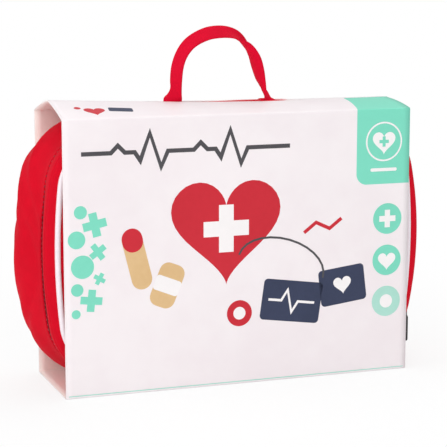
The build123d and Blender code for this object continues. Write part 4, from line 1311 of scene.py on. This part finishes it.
@dataclass
class Print:
    """The plain pictures printed on the sleeve's front and roof, and on the case's panel."""

    film: float = 0.05 * MM
    layer: float = 0.035 * MM
    ink: float = 0.03 * MM
    far: float = 0.4

    BEAT = (
        (-117, 171), (-96, 171), (-91, 176), (-86, 171), (-79, 171), (-75, 165), (-68, 184), (-60, 160), (-55, 171),
        (-36, 171), (-31, 176), (-26, 171), (-20, 171), (-16, 165), (-9, 184), (-1, 160), (4, 171), (36, 171),
    )

    SPRIGS = (
        (-118, 131, 4.6), (-108, 122, 7.4), (-121, 112, 6.2), (-106, 103, 5.4), (-117, 93, 8.2),
        (-105, 84, 3.8), (-121, 77, 4.4), (-111, 69, 6.8), (-122, 60, 3.2),
    )
    BLIP = ((-18, 0), (-8, 0), (-4, 8), (1, -8), (5, 0), (18, 0))
    STITCH = ((-15, -3), (-5, 3), (5, -3), (15, 3))
    ARC = tuple((34 * math.cos(t / 14 * math.pi), 20 * math.sin(t / 14 * math.pi)) for t in range(15))

    def shapes(self) -> list[tuple[str, int, Outline]]:
        """Every printed shape on the front: its ink, its layer and its outline."""
        pieces = [
            ("grey", 0, line_outline(self.BEAT, 3.0)),
            ("red", 0, moved(heart_outline(82), -12, 112)),
            ("white", 1, moved(plus_outline(34, 11), -12, 114)),
            ("tan", 0, moved(slab_outline(15, 44, 7.4), -78, 96, 14)),
            ("red", 1, moved(slab_outline(15, 17, 7.4), -81.2, 109.5, 14)),
            ("tan", 0, moved(slab_outline(19, 32, 6.5), -56, 76, -22)),
            ("white", 1, moved(slab_outline(19.2, 11, 2.0), -56, 76, -22)),
            ("navy", 0, moved(slab_outline(46, 30, 3.0), 38, 58, -8)),
            ("navy", 0, moved(slab_outline(36, 27, 3.0), 78, 67, 7)),
            ("white", 1, moved(line_outline(self.BLIP, 1.8), 38, 58, -8)),
            ("white", 1, moved(heart_outline(14), 78, 67, 7)),
            ("red", 0, moved(line_outline(self.STITCH, 2.6), 62, 112, 6)),
            ("red", 0, moved(disc_outline(9.5), -2, 52)),
            ("white", 1, moved(disc_outline(4.6), -2, 52)),
            ("grey", 2, moved(line_outline(self.ARC, 1.5), 30, 84, -18)),
            ("white", 1, moved(disc_outline(14.4), 109.5, 171)),
            ("mint", 2, moved(disc_outline(13.2), 109.5, 171)),
            ("white", 3, moved(heart_outline(18), 109.5, 170)),
            ("mint", 4, moved(plus_outline(7.5, 2.4), 109.5, 171)),
            ("white", 1, moved(slab_outline(21, 2.4, 1.1), 109.5, 150.5)),
            ("pale_mint", 0, moved(slab_outline(256, 0.7, 0.3), 0, 1.9)),
        ]
        for number, icon in enumerate((plus_outline(13, 4.2), heart_outline(14), disc_outline(5.0))):
            height = 114.2 - 30.8 * number
            pieces.append(("mint" if number < 2 else "pale_mint", 0, moved(disc_outline(11.4), 113.2, height)))
            pieces.append(("white", 1, moved(icon, 113.2, height - (1.0 if number == 1 else 0.0))))
        for number, (x, z, size) in enumerate(self.SPRIGS):
            outline = disc_outline(size) if number % 2 == 0 else plus_outline(size * 2.3, size * 0.8)
            pieces.append(("mint", 0, moved(outline, x, z, 12 * number)))
        return pieces

    def printed(
        self, name: str, shapes: Sequence[tuple[int, Outline]], tree: BVHTree, roof: bool = False
    ) -> bpy.types.Object:
        """All shapes of one ink, laid on the surface behind or below them.

        Args:
            name: Name of the piece.
            shapes: Layer and outline of each shape.
            tree: The surface that they lie on.
            roof: Whether the outlines are plans on the roof and not views from the front.

        Returns:
            The piece.
        """
        whole = bmesh.new()
        away = Vector((0, 0, 1)) if roof else Vector((0, -1, 0))
        for layer, corners in shapes:
            shape = outline_of(corners)
            for vert in shape.verts:
                x, height = vert.co.x, vert.co.z
                start = Vector((x, height, self.far)) if roof else Vector((x, -self.far, height))
                hit = tree.ray_cast(start, -away)[0]
                vert.co = hit + away * (self.film + layer * self.layer)
            part = bpy.data.meshes.new("shape")
            shape.to_mesh(part)
            shape.free()
            whole.from_mesh(part)
            bpy.data.meshes.remove(part)
        whole.normal_update()
        bmesh.ops.reverse_faces(whole, faces=[face for face in whole.faces if face.normal.dot(away) < 0])
        piece = as_piece(name, whole, smooth=False)
        wall(piece, self.ink, even=False)
        return piece

    def build(self) -> None:
        """Prints the sleeve and the panel behind it."""
        groups: dict[str, list[tuple[int, Outline]]] = {}
        for name, layer, corners in self.shapes():
            groups.setdefault(name, []).append((layer, corners))
        graph = bpy.context.evaluated_depsgraph_get()
        sleeve = BVHTree.FromObject(bpy.data.objects["sleeve_card"], graph)
        panel = BVHTree.FromObject(bpy.data.objects["front_pad"], graph)
        for name, shapes in groups.items():
            piece = self.printed(f"print_{name}", shapes, sleeve)
            settle(piece, Body.SLEEVE, Slot.CARD, [INKS[name]])
        roof = {
            "red": [(0, moved(heart_outline(15), -103, -27)), (0, moved(disc_outline(2.4), -114, -20))],
            "navy": [(0, moved(slab_outline(17, 8, 1.5), -84, -24, -8))],
        }
        for name, shapes in roof.items():
            piece = self.printed(f"roof_{name}", shapes, sleeve, roof=True)
            settle(piece, Body.SLEEVE, Slot.CARD, [INKS[name]])
        middle = FORM.middle / MM
        badge = {
            "white": [(3, moved(disc_outline(31), 0, middle))],
            "red": [(6, moved(heart_outline(44), 0, middle - 1))],
        }
        for name, shapes in badge.items():
            settle(self.printed(f"badge_{name}", shapes, panel), Body.CASE, Slot.CLOTH, [INKS[name]])
        plus = self.printed("badge_plus", [(9, moved(plus_outline(18, 6), 0, middle))], panel)
        settle(plus, Body.CASE, Slot.CLOTH, [INKS["white"]])


@dataclass
class Contents:
    """The toys and linings inside the closed case."""

    edge: float = 0.25 * MM
    hose_radius: float = 3.0 * MM
    hose_length: float = 155.1 * MM
    SOFT = ("plasters", "doctor_cap", "front_board", "back_board", "lid_pocket", "elastic_band")
    HOSE_ROUTE = (
        (99.0, 27.3, 86.0), (101.5, 27.3, 126.0), (97.5, 27.3, 168.0), (53.0, 27.3, 170.0), (50.0, 27.3, 127.0),
    )

    def hose(self) -> None:
        """Makes the stethoscope's hose as a smooth cord through the route's points, in millimetres."""
        curve = bpy.data.curves.new("hose_cord", "CURVE")
        curve.dimensions = "3D"
        curve.bevel_depth = self.hose_radius
        curve.bevel_resolution = 6
        curve.resolution_u = 24
        curve.use_fill_caps = True
        spline = curve.splines.new("NURBS")
        spline.points.add(len(self.HOSE_ROUTE) - 1)
        for point, spot in zip(spline.points, self.HOSE_ROUTE):
            point.co = (*(part * MM for part in spot), 1.0)
        spline.order_u = 3
        spline.use_endpoint_u = True
        cord = bpy.data.objects.new("hose_cord", curve)
        bpy.context.scene.collection.objects.link(cord)
        settle(cord, Body.CASE, Slot.HOSE, [HOSE_RUBBER], ["stethoscope_hose"])
        start = tuple(part * MM for part in self.HOSE_ROUTE[0])

    def soften(self, node: str, slot: Slot, material: bpy.types.Material) -> None:
        """Makes a soft piece with rounded edges in place of a packed one.

        Args:
            node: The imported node.
            slot: The record's slot of its finish.
            material: Its material.
        """
        shape = bmesh.new()
        shape.from_mesh(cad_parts[node].data)
        bmesh.ops.remove_doubles(shape, verts=shape.verts, dist=1e-6)
        bmesh.ops.dissolve_limit(shape, angle_limit=math.radians(1.0), verts=shape.verts, edges=shape.edges)
        sharp = [e for e in shape.edges if len(e.link_faces) == 2 and e.calc_face_angle(0.0) > math.radians(50)]
        bmesh.ops.bevel(
            shape, geom=sharp, offset=self.edge, affect="EDGES", segments=2, profile=0.5, material=-1,
            clamp_overlap=True,
        )
        settle(as_piece(f"soft_{node}", shape), Body.CASE, slot, [material], [node])

    def build(self) -> None:
        """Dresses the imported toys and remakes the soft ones."""
        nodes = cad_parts
        self.hose()
        finishes = {
            Slot.WOOD: (
                BARE_WOOD,
                ["bottle_body", "ointment_tube", "tweezer_arm_left", "tweezer_arm_right", "oval_dish"],
            ),
            Slot.RED_WOOD: (RED_WOOD, ["bottle_knob", "ointment_cap"]),
            Slot.WHITE_PLASTIC: (
                WHITE_PLASTIC,
                ["syringe_barrel", "chest_diaphragm", "ear_tube_left", "ear_tube_right"],
            ),
            Slot.RED_PLASTIC: (
                RED_PLASTIC,
                ["syringe_plunger", "chest_piece", "stethoscope_yoke", "ear_tip_left", "ear_tip_right"],
            ),
            Slot.DARK_CARD: (DARK_CARD, ["xray_cards"]),
            Slot.CARD: (WHITE_CARD, ["prescription_card"]),
            Slot.PLASTER: (PLASTER, ["plasters"]),
            Slot.WHITE_CLOTH: (WHITE_FELT, ["doctor_cap"]),
            Slot.LINING: (LINING, ["front_board", "back_board", "lid_pocket"]),
            Slot.ELASTIC: (ELASTIC, ["elastic_band"]),
        }
        for slot, (material, names) in finishes.items():
            for name in names:
                if name in self.SOFT:
                    self.soften(name, slot, material)
                    continue
                dress(nodes[name], slot, [material])
                LOG.info("dressed %s", name)


@dataclass
class Studio:
    """A plain white set with soft light, and the camera at the photograph's angle."""

    lens: float = 132.17
    camera_place: tuple[float, float, float] = (-0.4002, -1.1142, 0.3115)
    yaw: float = 19.765
    pitch: float = 9.639
    roll: float = -0.05

    def camera(self) -> None:
        """Sets the camera."""
        data = bpy.data.cameras.new("camera")
        data.lens = self.lens
        data.sensor_width = 36.0
        camera = bpy.data.objects.new("camera", data)
        bpy.context.scene.collection.objects.link(camera)
        camera.location = self.camera_place
        camera.rotation_euler = (
            math.radians(90 - self.pitch), math.radians(self.roll), math.radians(-self.yaw)
        )
        bpy.context.scene.camera = camera

    def white_for_camera(self, shading: Shading, share: Socket, surface: Socket) -> Socket:
        """Mixes a surface with plain white, as the camera, mirrors and glass see it.

        Args:
            shading: The tree.
            share: How much of the white shows.
            surface: The lit surface.

        Returns:
            The mixed shader.
        """
        path = shading.node("ShaderNodeLightPath").outputs
        seen = shading.math("ADD", path["Is Camera Ray"], path["Is Glossy Ray"])
        seen = shading.math("ADD", seen, path["Is Transmission Ray"], clamp=True)
        white = shading.node("ShaderNodeEmission", {"Color": (1, 1, 1, 1), "Strength": 1.0}).outputs[0]
        factor = shading.math("MULTIPLY", seen, share)
        return shading.node("ShaderNodeMixShader", {0: factor, 1: surface, 2: white}).outputs[0]

    def floor(self) -> None:
        """A wide pale floor that keeps the object's shadow."""
        shape = bmesh.new()
        bmesh.ops.create_grid(shape, x_segments=8, y_segments=8, size=6.0)
        floor = as_piece("floor", shape)
        shading, shader = new_material("floor")
        shader.inputs["Base Color"].default_value = linear(250, 250, 250)
        shader.inputs["Roughness"].default_value = 0.9
        output = next(n for n in shading.tree.nodes if n.type == "OUTPUT_MATERIAL")
        spot = shading.node("ShaderNodeTexCoord").outputs["Object"]
        distance = shading.node("ShaderNodeVectorMath", {0: spot}, operation="LENGTH").outputs["Value"]
        mixed = self.white_for_camera(shading, shading.ramp(distance, 0.16, 0.5, 0.8, 1.0), shader.outputs[0])
        shading.tree.links.new(mixed, output.inputs["Surface"])
        floor.data.materials.append(owner(shading))
        floor.location.z = -0.05 * MM

    def world(self) -> None:
        """White all round, dimmer where it only lights."""
        world = bpy.data.worlds.new("world")
        bpy.context.scene.world = world
        world.use_nodes = True
        shading = Shading(world.node_tree)
        output = next(n for n in world.node_tree.nodes if n.type == "OUTPUT_WORLD")
        plain = next(n for n in world.node_tree.nodes if n.type == "BACKGROUND")
        plain.inputs["Color"].default_value = (1, 1, 1, 1)
        plain.inputs["Strength"].default_value = 0.57
        bright = shading.node("ShaderNodeBackground", {"Color": (1, 1, 1, 1), "Strength": 1.0}).outputs[0]
        path = shading.node("ShaderNodeLightPath").outputs
        seen = shading.math("ADD", path["Is Camera Ray"], path["Is Transmission Ray"], clamp=True)
        mixed = shading.node("ShaderNodeMixShader", {0: seen, 1: plain.outputs[0], 2: bright}).outputs[0]
        shading.tree.links.new(mixed, output.inputs["Surface"])

    def lamp(self, name: str, spot: Vector, aim: Vector, size: float, power: float) -> None:
        """A soft square lamp.

        Args:
            name: Name of the lamp.
            spot: Where it hangs.
            aim: What it points at.
            size: Length of its side.
            power: Its power in watts.
        """
        data = bpy.data.lights.new(name, "AREA")
        data.size = size
        data.energy = power
        lamp = bpy.data.objects.new(name, data)
        bpy.context.scene.collection.objects.link(lamp)
        lamp.location = spot
        lamp.rotation_euler = (aim - spot).to_track_quat("-Z", "Y").to_euler()

    def build(self) -> None:
        """Sets up camera, floor, world and lamps."""
        self.camera()
        self.floor()
        self.world()
        aim = Vector((0, 0, 0.1))
        self.lamp("key", Vector((-0.5, -1.5, 1.3)), aim, 1.1, 11.5)
        self.lamp("top", Vector((0.4, 0.3, 1.7)), aim, 1.2, 7.5)
        self.lamp("left", Vector((-1.7, -0.3, 0.7)), aim, 1.0, 8.0)
        bpy.context.scene.view_settings.view_transform = "Standard"


def main() -> None:
    """Builds the studio and every sub-assembly in order."""
    logging.basicConfig(level=logging.INFO, format="%(name)s: %(message)s")
    Studio().build()
    CardSleeve().build()
    CaseShell().build()
    Zip().build()
    Handle().build()
    Print().build()
    Contents().build()


if __name__ == "__main__":
    main()
